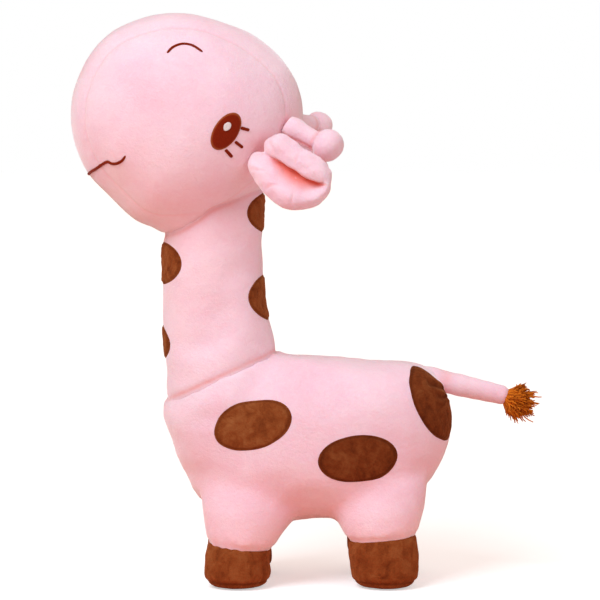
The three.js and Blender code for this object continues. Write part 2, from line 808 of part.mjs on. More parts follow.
// Horns
const hornParts = SIDES.map(({ name, sign }, i) => {
  const { droop, splay } = hornAims[i];
  const aim = new THREE.Vector3(
    Math.cos(droop) * Math.cos(splay),
    sign * Math.sin(splay),
    -Math.sin(droop) * Math.cos(splay),
  );
  const root = hornSeats[i].centre;
  const knobCentre = root.clone().addScaledVector(aim, horn.length);
  const turned = new THREE.Quaternion().setFromUnitVectors(new THREE.Vector3(0, 1, 0), aim);
  const knobAt = (grown) => {
    const radius = horn.knobRadius + grown;
    const shape = new THREE.SphereGeometry(radius, detail.earAround, detail.earAround / 2);
    shape.scale(1, horn.knobLengthShare, 1);
    shape.applyQuaternion(turned);
    shape.translate(knobCentre.x, knobCentre.y, knobCentre.z);
    return shape;
  };
  const spine = new THREE.LineCurve3(root, knobCentre);
  const stalk = roundedTube(spine, () => horn.radius, detail.limbAround);
  add(`horn_stalk_${name}`, cut(stalk, solidOf(knobAt(cloth.gap))), finishes.plush);
  add(`horn_knob_${name}`, knobAt(0), finishes.plush);
  return { root, aim };
});

// Tail and tuft
const tailAim = new THREE.Vector3(Math.cos(tail.droop), 0, -Math.sin(tail.droop));
const tailEnd = tailSeat.centre.clone().addScaledVector(tailAim, tail.length);
const tailBow = tailSeat.centre
  .clone()
  .lerp(tailEnd, 0.5)
  .add(new THREE.Vector3(0, 0, tail.sagShare * tail.length));
const tailSpine = new THREE.QuadraticBezierCurve3(tailSeat.centre, tailBow, tailEnd);
const tailRadiusAt = (t) => tail.radius + (tail.endRadius - tail.radius) * t;
add("tail_tube", roundedTube(tailSpine, tailRadiusAt, detail.limbAround), finishes.plush);

// The tuft's profile as shares of its radius and length, from the collar out to the strands' ends
const tuftProfileShares = [
  [0.62, 0.3],
  [0.8, 0.5],
  [0.96, 0.74],
  [1, 0.95],
  [0.62, 1],
  [0.3, 0.9],
];
function tuftSkin() {
  const seatRadius = tail.endRadius + cloth.gap;
  const around = tuft.strands * 2;
  const turned = new THREE.Quaternion().setFromUnitVectors(
    new THREE.Vector3(0, 0, 1),
    new THREE.Vector3(Math.cos(tuft.droop), 0, -Math.sin(tuft.droop)),
  );
  const place = (radius, along) => (angle) =>
    new THREE.Vector3(radius * Math.cos(angle), radius * Math.sin(angle), along)
      .applyQuaternion(turned)
      .add(tailEnd);
  const seatRings = steps(0, tuft.collarAngle, detail.collarRows)
    .slice(1)
    .map((angle) =>
      ring(around, place(seatRadius * Math.sin(angle), seatRadius * Math.cos(angle))),
    );
  const outerRings = tuftProfileShares.map(([radiusShare, lengthShare]) =>
    ring(around, (angle) => {
      const groove = 0.5 * tuft.strandDepthShare * (1 - Math.cos(angle * tuft.strands));
      const radius = tuft.radius * radiusShare * (1 - groove * lengthShare);
      return place(radius, tuft.length * lengthShare * (1 - tuft.strandEndShare * groove))(angle);
    }),
  );
  const poles = [seatRadius, tuft.length * tuft.hollowShare].map((along) => place(0, along)(0));
  return skin([...seatRings, ...outerRings], poles);
}
add("tail_tuft", tuftSkin(), finishes.yarn);

// Spots on the flanks, the rump and the neck
SIDES.forEach(({ name, sign }) => {
  for (const { name: place, xShare, zShare, tilt } of flankSpots) {
    const [a, b] = [xShare * torso.halfLength, zShare * torso.halfHeight];
    const shape = { a, b, tilt, ...spot };
    const surface = flankSurface(torso, sign);
    add(
      `spot_${place}_${name}`,
      ovalPatch(surface, torso.centre, shape, detail.patchAround),
      finishes.brownPlush,
    );
  }
  const rump = unrolled(
    (angle, tilt) => pillowPoint(torso, angle, tilt),
    rumpSpot.seatAngle,
    sign * rumpSpot.seatTilt,
    cloth.probe * DEGREE,
  );
  const shape = { a: 0, b: 0, tilt: sign * rumpSpot.tilt, ...spot };
  add(
    `spot_rump_${name}`,
    ovalPatch(rump, torso.centre, shape, detail.patchAround),
    finishes.brownPlush,
  );
});
for (const { name, lengthShare, angle, highShare, wideShare } of neckSpots) {
  const along = (neck.tuck + lengthShare * neck.length) / neckHeight;
  const surface = unrolled(
    (a, b) => tubePoint(neck, b, a),
    angle,
    along,
    cloth.probe * DEGREE,
  );
  const [semiLong, semiShort] = [neckSpot.semiWide * wideShare, neckSpot.semiHigh * highShare];
  const shape = { a: 0, b: 0, tilt: 0, ...spot, semiLong, semiShort };
  const oval = ovalPatch(surface, neck.centreAt(along), shape, detail.patchAround);
  add(`spot_${name}`, cut(oval, grownHead, grownTorso), finishes.brownPlush);
}

// Face
SIDES.forEach(({ name, sign }) => {
  const cheek = flankSurface(head, sign);
  const [a, b] = [eye.xShare * head.halfLength, eye.zShare * head.halfHeight];
  const iris = { a, b, ...eye, thickness: thread.thickness, lift: cloth.gap };
  add(`eye_${name}`, ovalPatch(cheek, head.centre, iris, detail.patchAround), finishes.brownThread);
  const glint = {
    a: a + eye.highlightXShare * eye.semiLong,
    b: b + eye.highlightZShare * eye.semiLong,
    semiLong: eye.highlightSemi,
    semiShort: eye.highlightSemi,
    tilt: 0,
    thickness: thread.thickness,
    lift: thread.thickness + 2 * cloth.gap,
  };
  add(
    `eye_highlight_${name}`,
    ovalPatch(cheek, head.centre, glint, detail.patchAround / 2),
    finishes.paleThread,
  );
  lashShares.forEach(({ from, to }, i) => {
    const places = [0, 0.5, 1].map((t) => [
      a + eye.semiLong * (from[0] + (to[0] - from[0]) * t),
      b + eye.semiLong * (from[1] + (to[1] - from[1]) * t),
    ]);
    add(`lash_${name}_${i + 1}`, threadLine(cheek, head.centre, places), finishes.brownThread);
  });
  const nostril = nostrilShares.map(([x, z]) => [x * head.halfLength, z * head.halfHeight]);
  add(`nostril_${name}`, threadLine(cheek, head.centre, nostril), finishes.brownThread);
});
const muzzle = (a, b) => pillowPoint(head, a / head.halfLength, b / head.halfWidth);
const mouthHalf = mouthAngles.map(([angle, tilt]) => [
  angle * head.halfLength,
  tilt * head.halfWidth,
]);
const mouthMiddle = [mouthHalf.at(-1)[0], 0];
const mouthFar = [...mouthHalf].reverse().map(([a, b]) => [a, -b]);
add(
  "mouth",
  threadLine(muzzle, head.centre, [...mouthHalf, mouthMiddle, ...mouthFar]),
  finishes.brownThread,
);

// The part's frame has its origin on the floor, under the middle of the whole toy.
const bounds = new THREE.Box3().setFromObject(model);
const middle = bounds.getCenter(new THREE.Vector3());
model.position.set(-middle.x, -middle.y, -bounds.min.z);

// Where the joints are, for whoever moves the toy
const toFrame = (point) => point.clone().add(model.position).toArray();
const giraffe = new THREE.Group();
giraffe.name = "plush_giraffe";
giraffe.add(model);
giraffe.userData.pivots = {
  ear_left: { at: toFrame(earSeats[0].centre), axis: earSeats[0].axis.toArray() },
  ear_right: { at: toFrame(earSeats[1].centre), axis: earSeats[1].axis.toArray() },
  horn_left: { at: toFrame(hornParts[0].root), aim: hornParts[0].aim.toArray() },
  horn_right: { at: toFrame(hornParts[1].root), aim: hornParts[1].aim.toArray() },
  tail: { at: toFrame(tailSeat.centre) },
  tuft: { at: toFrame(tailEnd) },
  soles: Object.fromEntries(
    legPairs.flatMap((pair) =>
      SIDES.map(({ name, sign }) => [
        `${pair.name}_${name}`,
        toFrame(legForm(pair, sign).centreAt(0)),
      ]),
    ),
  ),
};

export default giraffe;
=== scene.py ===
"""Looks of a stuffed toy giraffe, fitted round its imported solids.

Every length is in metres, with +Z up. The head faces -X, and the giraffe's own left side is towards -Y.
"""

import logging
import math
from collections.abc import Callable
from dataclasses import dataclass, field, replace
from enum import Enum
from functools import partial

import bpy
import numpy as np
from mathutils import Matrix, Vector

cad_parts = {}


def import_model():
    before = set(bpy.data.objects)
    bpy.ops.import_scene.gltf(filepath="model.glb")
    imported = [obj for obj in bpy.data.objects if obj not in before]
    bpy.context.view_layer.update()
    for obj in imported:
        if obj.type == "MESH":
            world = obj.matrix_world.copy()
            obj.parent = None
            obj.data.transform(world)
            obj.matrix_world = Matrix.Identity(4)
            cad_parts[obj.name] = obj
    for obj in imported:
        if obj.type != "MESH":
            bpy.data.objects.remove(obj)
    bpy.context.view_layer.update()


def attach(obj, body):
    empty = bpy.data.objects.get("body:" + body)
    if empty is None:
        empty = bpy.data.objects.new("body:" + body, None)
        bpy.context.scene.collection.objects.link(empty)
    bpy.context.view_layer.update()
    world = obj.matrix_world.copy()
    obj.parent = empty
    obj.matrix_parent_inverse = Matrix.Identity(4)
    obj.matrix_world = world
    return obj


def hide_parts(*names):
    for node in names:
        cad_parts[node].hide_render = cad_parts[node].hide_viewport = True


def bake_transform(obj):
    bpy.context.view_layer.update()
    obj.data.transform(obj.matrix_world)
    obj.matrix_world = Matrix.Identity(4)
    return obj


logging.basicConfig(level=logging.INFO, format="%(name)s: %(message)s")
log = logging.getLogger("giraffe")

Array = np.ndarray
Piece = bpy.types.Object
Socket = bpy.types.NodeSocket
Pair = tuple[Array, Array]
Skin = tuple[Array, list[Array]]
Shares = tuple[float, ...]
Place = tuple[float, float, float]
TURN = 2.0 * math.pi
ACROSS = np.array([0.0, 1.0, 0.0])
UP = np.array([0.0, 0.0, 1.0])
ROOT_BODY = "toy"


class Side(Enum):
    """A side of the toy, with the sign of Y there."""

    LEFT = -1
    RIGHT = 1

    @property
    def word(self) -> str:
        """The side's name in the names of pieces."""
        return self.name.lower()


# Smooth tables


def blend_four(a: Array, b: Array, c: Array, d: Array, f: Array) -> Array:
    """Cubic through the two middle values of four, at part f of the way between them."""
    return b + 0.5 * f * (c - a + f * (2 * a - 5 * b + 4 * c - d + f * (3 * (b - c) + d - a)))


def share_around(shares: Shares, angle: Array) -> Array:
    """Smooth value of a table whose entries stand at equal steps round a full turn.

    Args:
        shares: the table.
        angle: where to read it, in radians.

    Returns:
        One value for each angle.
    """
    table = np.asarray(shares, float)
    place = np.mod(np.asarray(angle, float) / TURN, 1.0) * len(table)
    first = np.floor(place).astype(int)
    picks = [table[(first + step) % len(table)] for step in (-1, 0, 1, 2)]
    return blend_four(*picks, place - first)


def share_along(shares: Shares | Array, along: Array) -> Array:
    """Smooth value of a table whose entries stand at equal steps from 0 to 1.

    Args:
        shares: the table.
        along: where to read it, from 0 to 1.

    Returns:
        One value for each place.
    """
    table = np.asarray(shares, float)
    last = len(table) - 1
    place = np.clip(np.asarray(along, float), 0.0, 1.0) * last
    first = np.minimum(np.floor(place).astype(int), last - 1)
    picks = [table[np.clip(first + step, 0, last)] for step in (-1, 0, 1, 2)]
    return blend_four(*picks, place - first)


def smooth_path(points: list[Shares], count: int) -> Array:
    """Points at equal steps of a smooth curve through some given ones.

    Args:
        points: the places that the curve runs through.
        count: how many points to give.

    Returns:
        An array of shape (count, dimensions).
    """
    steps = np.linspace(0.0, 1.0, count)
    table = np.asarray(points, float)
    return np.stack([share_along(column, steps) for column in table.T], axis=-1)


def waves(points: Array, length: float, seed: int, count: int = 28) -> Array:
    """Smooth random field: the sum of cosines of plane waves that run in seeded directions.

    Args:
        points: places, of shape (..., 3).
        length: the waves' mean length.
        seed: which of the fields it is.
        count: how many waves are added.

    Returns:
        One value for each place, with zero mean and a spread of about one.
    """
    rng = np.random.default_rng(seed)
    heading = rng.normal(size=(count, 3))
    heading /= np.linalg.norm(heading, axis=1, keepdims=True)
    rate = heading * (TURN / (length * rng.uniform(0.7, 1.4, (count, 1))))
    phase = rng.uniform(0.0, TURN, count)
    total = np.cos(points.reshape(-1, 3) @ rate.T + phase).sum(axis=1)
    return total.reshape(points.shape[:-1]) * math.sqrt(2.0 / count)


def smooth_step(values: Array) -> Array:
    """Rises smoothly from 0 to 1 as the values do."""
    part = np.clip(values, 0.0, 1.0)
    return part * part * (3.0 - 2.0 * part)


def quarter_round(distance: Array, width: float) -> Array:
    """Height of a quarter circle at a distance from its foot, 1 beyond its width."""
    return np.sqrt(1.0 - (1.0 - np.clip(distance / width, 0.0, 1.0)) ** 2)


def bell(distance: Array, width: Array | float) -> Array:
    """Bell curve of a distance: 1 in its middle, and 1/e one width away from it."""
    return np.exp(-((distance / width) ** 2))


def even_angles(count: int) -> Array:
    """Angles at equal steps round a full turn."""
    return np.arange(count) * TURN / count


def angle_from(angle: Array, middle: float) -> Array:
    """How far angles are from one in the middle, within half a turn on either side."""
    return np.mod(angle - middle + math.pi, TURN) - math.pi


def soft_waves(points: Array, *fields: tuple[float, float, int]) -> Array:
    """Sum of random fields, each given by its height, the length of its waves and its seed."""
    return sum(height * waves(points, length, seed) for height, length, seed in fields)


def unit(vector: Array) -> Array:
    """Vectors of length one with the same directions."""
    return vector / np.maximum(np.linalg.norm(vector, axis=-1, keepdims=True), 1e-12)


def rings_round(middle: Array, radius: Array, angle: Array, side: Array, up: Array) -> Array:
    """Circles: middles plus the radius times the cosine of one direction and the sine of another."""
    return middle + radius[..., None] * (np.cos(angle)[..., None] * side + np.sin(angle)[..., None] * up)


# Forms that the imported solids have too


@dataclass(frozen=True)
class Pillow:
    """A stuffed form with a side outline given by shares of two half axes."""

    half_length: float
    half_height: float
    half_width: float
    fullness: float
    shares: Shares
    centre: tuple[float, float, float]

    def at(self, angle: Array, tilt: Array, inset: float = 0.0) -> Array:
        """Point at an angle round the outline and a tilt out to a flank.

        The half axes times the outline's share shrink with the cosine of the tilt to the power of
        the fullness, and the half width grows with its sine to the same power.

        Args:
            angle: angle round the side outline, 0 towards +X.
            tilt: 0 in the middle, a quarter turn at a flank.
            inset: how far inside the surface.

        Returns:
            Points of shape (..., 3).
        """
        share = share_around(self.shares, angle)
        across = np.maximum(np.cos(tilt), 0.0) ** self.fullness
        out = np.sign(tilt) * np.abs(np.sin(tilt)) ** self.fullness
        x = (self.half_length * share - inset) * across * np.cos(angle)
        z = (self.half_height * share - inset) * across * np.sin(angle)
        y = (self.half_width - inset) * out
        return np.stack(np.broadcast_arrays(x, y, z), axis=-1) + self.centre

    def reach(self, x: Array, z: Array) -> Array:
        """How far out a place of the side view lies, 1 on the outline."""
        a, b = np.asarray(x) / self.half_length, np.asarray(z) / self.half_height
        return np.hypot(a, b) / share_around(self.shares, np.arctan2(b, a))

    def level(self, points: Array) -> Array:
        """Measure of places: below 1 inside the form, 1 on it and above 1 outside it.

        Args:
            points: places of shape (..., 3).

        Returns:
            One value for each place.
        """
        local = points - self.centre
        power = 2.0 / self.fullness
        outline = self.reach(local[..., 0], local[..., 2]) ** power
        return outline + np.abs(local[..., 1] / self.half_width) ** power

    def onto(self, points: Array, inset: float = 0.0) -> Array:
        """Places moved along rays from the centre to the surface, or to a depth under it.

        Args:
            points: places of shape (..., 3).
            inset: the depth.

        Returns:
            The moved places.
        """
        local = points - self.centre
        length = np.linalg.norm(local, axis=-1, keepdims=True)
        scale = self.level(points)[..., None] ** (-self.fullness / 2.0)
        return self.centre + local * (scale - inset / length)

    def flank(self, x: Array, z: Array, sign: int) -> Array:
        """Point of a flank over a place of the side view, measured from the form's centre.

        Args:
            x: place along the form.
            z: place up it.
            sign: the side's sign.

        Returns:
            Points of shape (..., 3).
        """
        inner = np.minimum(self.reach(x, z), 1.0)
        out = (1.0 - inner ** (2.0 / self.fullness)) ** (self.fullness / 2.0)
        y = sign * self.half_width * out
        return np.stack(np.broadcast_arrays(x, y, z), axis=-1) + self.centre

    def wrapped(self, x: Array, z: Array, sign: int, free: float = 0.88) -> Array:
        """Point of a flank, for a patch that bends round towards the middle seam.

        Past the free reach a place's reach grows only by the hyperbolic tangent of what is over,
        so that no place crosses the outline.

        Args:
            x: place along the form.
            z: place up it.
            sign: the side's sign.
            free: reach up to which nothing is changed.

        Returns:
            Points of shape (..., 3).
        """
        reach = self.reach(x, z)
        drawn = free + (1.0 - free) * np.tanh((reach - free) / (1.0 - free))
        share = np.where(reach > free, drawn / reach, 1.0)
        return self.flank(x * share, z * share, sign)

    def normal(self, angle: float, tilt: float) -> Array:
        """Outward normal at a place given by its two angles.

        Args:
            angle: angle round the outline.
            tilt: tilt out to a flank.

        Returns:
            A vector of length one.
        """
        step = 1e-3
        here = self.at(angle, tilt)
        cross = np.cross(self.at(angle + step, tilt) - here, self.at(angle, tilt + step) - here)
        outward = np.sign(np.dot(cross, here - self.centre))
        return unit(cross * outward)

    def skin(self, around: int, rows: int, inset: float) -> Skin:
        """Closed surface of the form.

        Args:
            around: points round the outline.
            rows: rows between the poles at the two flanks.
            inset: how far inside the form.

        Returns:
            Vertices and faces.
        """
        angles = even_angles(around)
        tilts = np.linspace(-0.25, 0.25, rows + 2)[1:-1] * TURN
        rings = self.at(angles[None, :], tilts[:, None], inset)
        poles = [self.at(0.0, sign * TURN / 4, inset) for sign in (-1, 1)]
        return closed_skin(rings, poles[0], poles[1])


@dataclass(frozen=True)
class Upright:
    """A stuffed tube that stands up, as a leg or the neck."""

    height: float
    half_depth: float
    half_width: float
    foot: tuple[float, float, float]
    lean: float
    lean_shares: Shares
    depth_shares: Shares
    width_shares: Shares
    side: float = 0.0
    side_shares: Shares = (1.0, 1.0)
    slope: float = 0.0
    slope_from: float = 0.0
    slope_to: float = 0.0

    def axis_at(self, along: Array) -> Array:
        """Point of the middle line, from the foot (0) to the top (1).

        Args:
            along: place along the line.

        Returns:
            Points of shape (..., 3).
        """
        x = self.foot[0] + self.lean * share_along(self.lean_shares, along)
        y = self.foot[1] + self.side * share_along(self.side_shares, along)
        z = self.foot[2] + np.asarray(along) * self.height
        return np.stack(np.broadcast_arrays(x, y, z), axis=-1)

    def at(self, along: Array, angle: Array, inset: Array = 0.0) -> Array:
        """Point of the surface: an ellipse round the middle line, with its rows sheared by a slope.

        Args:
            along: place from the foot (0) to the top (1).
            angle: angle round it, 0 towards +X.
            inset: how far inside the surface.

        Returns:
            Points of shape (..., 3).
        """
        depth = self.half_depth * share_along(self.depth_shares, along) - inset
        width = self.half_width * share_along(self.width_shares, along) - inset
        z = np.asarray(along) * self.height
        slope = 0.0
        if self.slope_to > self.slope_from:
            rise = np.maximum((z - self.slope_from) / (self.slope_to - self.slope_from), 0.0)
            fall = (self.height - z) / (self.height - self.slope_to)
            slope = self.slope * np.minimum(np.minimum(rise, fall), 1.0)
        offset = (depth * np.cos(angle), width * np.sin(angle), slope * depth * np.cos(angle))
        return self.axis_at(along) + np.stack(np.broadcast_arrays(*offset), axis=-1)

    def crossing(self, within: Callable[[Array], Array], angles: Array, top: bool) -> Array:
        """Where the tube leaves a region, found by halving an interval for all angles at once.

        Args:
            within: tells for places whether they lie in the region.
            angles: angles round the tube.
            top: whether the region holds the tube's top, and not its foot.

        Returns:
            The place along the tube for each angle.
        """
        inside, outside = (np.full_like(angles, end) for end in ((1.0, 0.5) if top else (0.0, 0.5)))
        for _ in range(30):
            middle = (inside + outside) / 2
            held = within(self.at(middle, angles))
            inside, outside = np.where(held, middle, inside), np.where(held, outside, middle)
        return outside

    def unrolled(self, across: Array, up: Array, along: float, angle: float) -> Array:
        """Point that lies across and up from a place of the surface, as if that lay flat there."""
        radius = float(np.linalg.norm((self.at(along, angle) - self.axis_at(along))[:2]))
        return self.at(along + up / self.height, angle + across / radius)

    def join(self, form: Pillow, angles: Array) -> Array:
        """The line where the tube goes up into a pillow, one point for each angle."""
        return self.at(self.crossing(lambda points: form.level(points) < 1.0, angles, True), angles)

    def collar(
        self, seam: Array, angles: Array, reach: float, flare: Array, onto: Pillow, power: float = 2.0
    ) -> Skin:
        """Closed skin that widens from a seam round the tube.

        Its width grows with a power of the way from the seam, and over the last part of the way it
        goes over into the form's surface.

        Args:
            seam: place along the tube for each angle.
            angles: angles round the tube.
            reach: how far it goes along the tube from the seam, downwards if negative.
            flare: for each angle, how much wider it gets.
            onto: the form that it runs into, just under whose surface it ends.
            power: power of the way with which it gets wider.

        Returns:
            Vertices and faces.
        """
        start_inset, end_depth, free_share = 0.0004, 0.003, 0.3
        share = np.linspace(0.0, 1.0, 14)[:, None]
        alongs = seam[None, :] + reach * share / self.height
        rings = self.at(alongs, angles[None, :], start_inset - flare * share**power)
        under = onto.onto(rings.reshape(-1, 3), end_depth).reshape(rings.shape)
        near_end = smooth_step((share - free_share) / (1.0 - free_share))
        return closed_skin(rings + (under - rings) * near_end[..., None])


# Meshes


def ring_quads(rows: int, cols: int) -> Array:
    """Faces between rings of equally many points, each ring closed.

    Args:
        rows: how many rings.
        cols: points in each.

    Returns:
        The quads.
    """
    a = np.arange((rows - 1) * cols).reshape(rows - 1, cols)
    b = np.roll(a, -1, axis=1)
    return np.stack([a, b, b + cols, a + cols], axis=-1).reshape(-1, 4)


def facing_out(verts: Array, faces: list[Array]) -> list[Array]:
    """The faces, turned round if the volume that they close would be negative.

    Args:
        verts: the vertices' places.
        faces: groups of faces of equal size.

    Returns:
        The groups, all facing out.
    """
    volume = 0.0
    for group in faces:
        for step in range(1, group.shape[1] - 1):
            a, b, c = verts[group[:, 0]], verts[group[:, step]], verts[group[:, step + 1]]
            volume += np.einsum("ij,ij->i", a, np.cross(b, c)).sum()
    return [group[:, ::-1] for group in faces] if volume < 0 else faces


def closed_skin(rings: Array, start: Array | None = None, end: Array | None = None) -> Skin:
    """Closed surface over rings, with a pole at each end.

    Args:
        rings: points of shape (rows, columns, 3).
        start: the pole before the first ring, or nothing for that ring's middle.
        end: the pole after the last ring, or nothing for that ring's middle.

    Returns:
        Vertices, and faces as groups of quads and triangles.
    """
    start = rings[0].mean(axis=0) if start is None else start
    end = rings[-1].mean(axis=0) if end is None else end
    rows, cols = rings.shape[:2]
    verts = np.concatenate([rings.reshape(-1, 3), [start], [end]])
    here = np.arange(cols)
    after = np.roll(here, -1)
    poles = [np.full(cols, rows * cols), np.full(cols, rows * cols + 1)]
    last = (rows - 1) * cols
    caps = np.concatenate(
        [np.stack([poles[0], after, here], -1), np.stack([poles[1], last + here, last + after], -1)]
    )
    return verts, facing_out(verts, [ring_quads(rows, cols), caps])


def grid_quads(rows: int, cols: int) -> Pair:
    """The numbers of an open grid's points, and its faces."""
    ids = np.arange(rows * cols).reshape(rows, cols)
    return ids, np.stack([ids[:-1, :-1], ids[:-1, 1:], ids[1:, 1:], ids[1:, :-1]], -1).reshape(-1, 4)


def closed_sheet(top: Array, bottom: Array) -> Skin:
    """Closed surface of a thin piece from the grids of its top and of its underside.

    Args:
        top: points of shape (rows, columns, 3).
        bottom: as many points below them.

    Returns:
        Vertices and faces.
    """
    rows, cols = top.shape[:2]
    ids, upper = grid_quads(rows, cols)
    lower = upper[:, ::-1] + rows * cols
    rim = np.concatenate([ids[0, :-1], ids[:-1, -1], ids[-1, :0:-1], ids[:0:-1, 0]])
    after = np.roll(rim, -1)
    wall = np.stack([after, rim, rim + rows * cols, after + rows * cols], -1)
    verts = np.concatenate([top.reshape(-1, 3), bottom.reshape(-1, 3)])
    return verts, facing_out(verts, [np.concatenate([upper, lower, wall])])


def joined(groups: list[Skin]) -> Skin:
    """Several skins as one list of vertices and faces.

    Args:
        groups: the skins.

    Returns:
        Vertices and faces.
    """
    starts = np.cumsum([0] + [len(points) for points, _ in groups[:-1]])
    faces = [part + start for (_, parts), start in zip(groups, starts) for part in parts]
    return np.concatenate([points for points, _ in groups]), faces


def set_all(thing: object, **settings: object) -> None:
    """Sets several properties of one thing."""
    for name, value in settings.items():
        setattr(thing, name, value)


def linked(name: str, data: bpy.types.ID) -> Piece:
    """A new object in the scene.

    Args:
        name: its name.
        data: its mesh, camera or lamp.

    Returns:
        The object.
    """
    made = bpy.data.objects.new(name, data)
    bpy.context.scene.collection.objects.link(made)
    return made


def make_piece(name: str, verts: Array, faces: list[Array]) -> Piece:
    """A smooth-shaded mesh object at the origin, linked to the scene.

    Args:
        name: the piece's name, to which the ending for a visible piece is added.
        verts: the vertices' places.
        faces: groups of faces of equal size.

    Returns:
        The object.
    """
    mesh = bpy.data.meshes.new(name)
    polygons = [face for group in faces for face in group.tolist()]
    mesh.from_pydata(verts.tolist(), [], polygons)
    mesh.polygons.foreach_set("use_smooth", np.ones(len(mesh.polygons), bool))
    mesh.update()
    return linked(f"{name}_look", mesh)


def vectors(items: bpy.types.bpy_prop_collection, name: str) -> Array:
    """One vector of each item, as an array of shape (count, 3).

    Args:
        items: a mesh's items.
        name: the property to read.

    Returns:
        The vectors.
    """
    flat = np.empty(len(items) * 3)
    items.foreach_get(name, flat)
    return flat.reshape(-1, 3)


def points_of(piece: Piece) -> Array:
    """The vertices' places."""
    return vectors(piece.data.vertices, "co")


def normals_of(piece: Piece) -> Array:
    """The vertices' normals."""
    return vectors(piece.data.vertex_normals, "vector")


def move_points(piece: Piece, points: Array) -> None:
    """Puts the vertices at new places."""
    piece.data.vertices.foreach_set("co", points.ravel())
    piece.data.update()


def give_value(piece: Piece, name: str, values: Array) -> None:
    """Keeps one number for each vertex under a name that a finish can read."""
    attribute = piece.data.attributes.get(name) or piece.data.attributes.new(name, "FLOAT", "POINT")
    attribute.data.foreach_set("value", np.asarray(values, np.float32).ravel())


def settle(piece: Piece) -> Piece:
    """Applies a piece's modifiers to its mesh.

    Args:
        piece: the piece, which keeps its place in the scene.

    Returns:
        The same piece with its new mesh.
    """
    graph = bpy.context.evaluated_depsgraph_get()
    mesh = bpy.data.meshes.new_from_object(piece.evaluated_get(graph))
    old = piece.data
    piece.modifiers.clear()
    piece.data = mesh
    bpy.data.meshes.remove(old)
    mesh.name = piece.name
    mesh.polygons.foreach_set("use_smooth", np.ones(len(mesh.polygons), bool))
    return piece


def modified(piece: Piece, kind: str, **settings: object) -> Piece:
    """Applies one modifier with some settings."""
    set_all(piece.modifiers.new(kind.title(), kind), **settings)
    return settle(piece)


def shifted(piece: Piece, amount: Callable[[Array], Array]) -> None:
    """Moves a piece's surface outwards by an amount that is a function of the place."""
    points = points_of(piece)
    move_points(piece, points + normals_of(piece) * amount(points)[:, None])


def drawn_onto(piece: Piece, form: Pillow, inset: float, joins: Array) -> None:
    """Puts a remeshed cover back on its form, by less the further off it is and near its joins.

    Args:
        piece: the cover.
        form: its form.
        inset: how far inside the form it lies.
        joins: for each vertex, how near a join is.
    """
    points = points_of(piece)
    way = form.onto(points, inset) - points
    bare = bell(np.linalg.norm(way, axis=1), 0.003) * (1.0 - joins)
    move_points(piece, points + way * bare[:, None])


def evened(piece: Piece, values: Array, rounds: int, weight: Array | float) -> Array:
    """Moves each vertex's value towards the mean of its neighbours' values, some rounds over.

    Args:
        piece: the piece whose edges join the neighbours.
        values: a vector for each vertex, of shape (count, 3).
        rounds: how often.
        weight: from 0 to 1, how far each value goes in a round.

    Returns:
        The new values.
    """
    edges = np.empty(len(piece.data.edges) * 2, int)
    piece.data.edges.foreach_get("vertices", edges)
    starts, ends = edges.reshape(-1, 2).T
    size = len(values)
    count = np.bincount(edges, minlength=size)
    share = np.broadcast_to(weight, (size,))[:, None]
    for _ in range(rounds):
        sums = [
            np.bincount(starts, column[ends], size) + np.bincount(ends, column[starts], size)
            for column in values.T
        ]
        values = values + share * (np.stack(sums, axis=-1) / count[:, None] - values)
    return values


def filled_out(piece: Piece, rounds: int, weight: Array | float) -> None:
    """Fills a piece's hollow corners: its surface is evened, and only what moves outwards stays.

    Args:
        piece: the piece.
        rounds: how often it is evened.
        weight: how far each vertex goes in a round.
    """
    points, normals = points_of(piece), normals_of(piece)
    shift = evened(piece, points, rounds, weight) - points
    outwards = np.maximum((shift * normals).sum(axis=1), 0.0)[:, None] * normals
    move_points(piece, points + evened(piece, outwards, 3, 0.5))


def nearest_on(points: Array, line: Array) -> Pair:
    """Distance to a line of points, and how far along the line its nearest point is.

    Args:
        points: places of shape (count, 3).
        line: the line's points, closely spaced.

    Returns:
        The distances, and the lengths along the line.
    """
    run = np.concatenate([[0.0], np.cumsum(np.linalg.norm(np.diff(line, axis=0), axis=1))])
    distance, along = np.empty(len(points)), np.empty(len(points))
    batch = 4096
    for start in range(0, len(points), batch):
        part = points[start : start + batch]
        gap = np.linalg.norm(part[:, None, :] - line[None, :, :], axis=2)
        nearest = gap.argmin(axis=1)
        distance[start : start + batch] = gap[np.arange(len(part)), nearest]
        along[start : start + batch] = run[nearest]
    return distance, along


@dataclass(frozen=True)
class Seam:
    """A sewn line that draws plush in, with puckers across it and a shade painted along it."""

    line: Array
    depth: float
    width: float
    pucker: float = 0.0
    pitch: float = 0.011
    reach: float = 0.008
    # tint and tint_width: how strong and how wide the shade painted along the seam is
    tint: float = 1.0
    tint_width: float = 0.0035

    def draw(self, points: Array) -> Pair:
        """How far the seam draws each place in, and how much shade is painted there.

        The groove is a bell curve of the distance to the line. The puckers are waves along the line
        that fade out with the distance.

        Args:
            points: places near the seam.

        Returns:
            Two values for each place: the way inwards, and the painted shade from 0 to 1.
        """
        distance, along = nearest_on(points, self.line)
        groove = self.depth * bell(distance, self.width)
        wander = 1.6 * np.sin(TURN * along / (3.7 * self.pitch))
        ridges = 0.5 + 0.5 * np.cos(TURN * along / self.pitch + wander)
        fold = self.pucker * np.exp(-distance / self.reach) * ridges
        # painted shade: a bell curve of the distance to the line
        shade = self.tint * bell(distance, self.tint_width)
        return groove + fold, shade


def sew(piece: Piece, seams: list[Seam]) -> None:
    """Draws a piece's surface in along its seams, and keeps the shade painted along them as a value for each
    vertex.

    Args:
        piece: the piece.
        seams: the lines that are sewn into it.
    """
    points, normals = points_of(piece), normals_of(piece)
    total, shade = np.zeros(len(points)), np.zeros(len(points))
    for seam in seams:
        inwards, tint = seam.draw(points)
        total += inwards
        shade = np.maximum(shade, tint)
    move_points(piece, points - normals * total[:, None])
    # painted shade of the seams, kept for the finish
    give_value(piece, "crease", shade)


CLOTH = {
    "quality": 5, "mass": 0.15, "tension_stiffness": 15.0, "compression_stiffness": 15.0,
    "shear_stiffness": 6.0, "bending_stiffness": 0.6, "use_pressure": True,
}


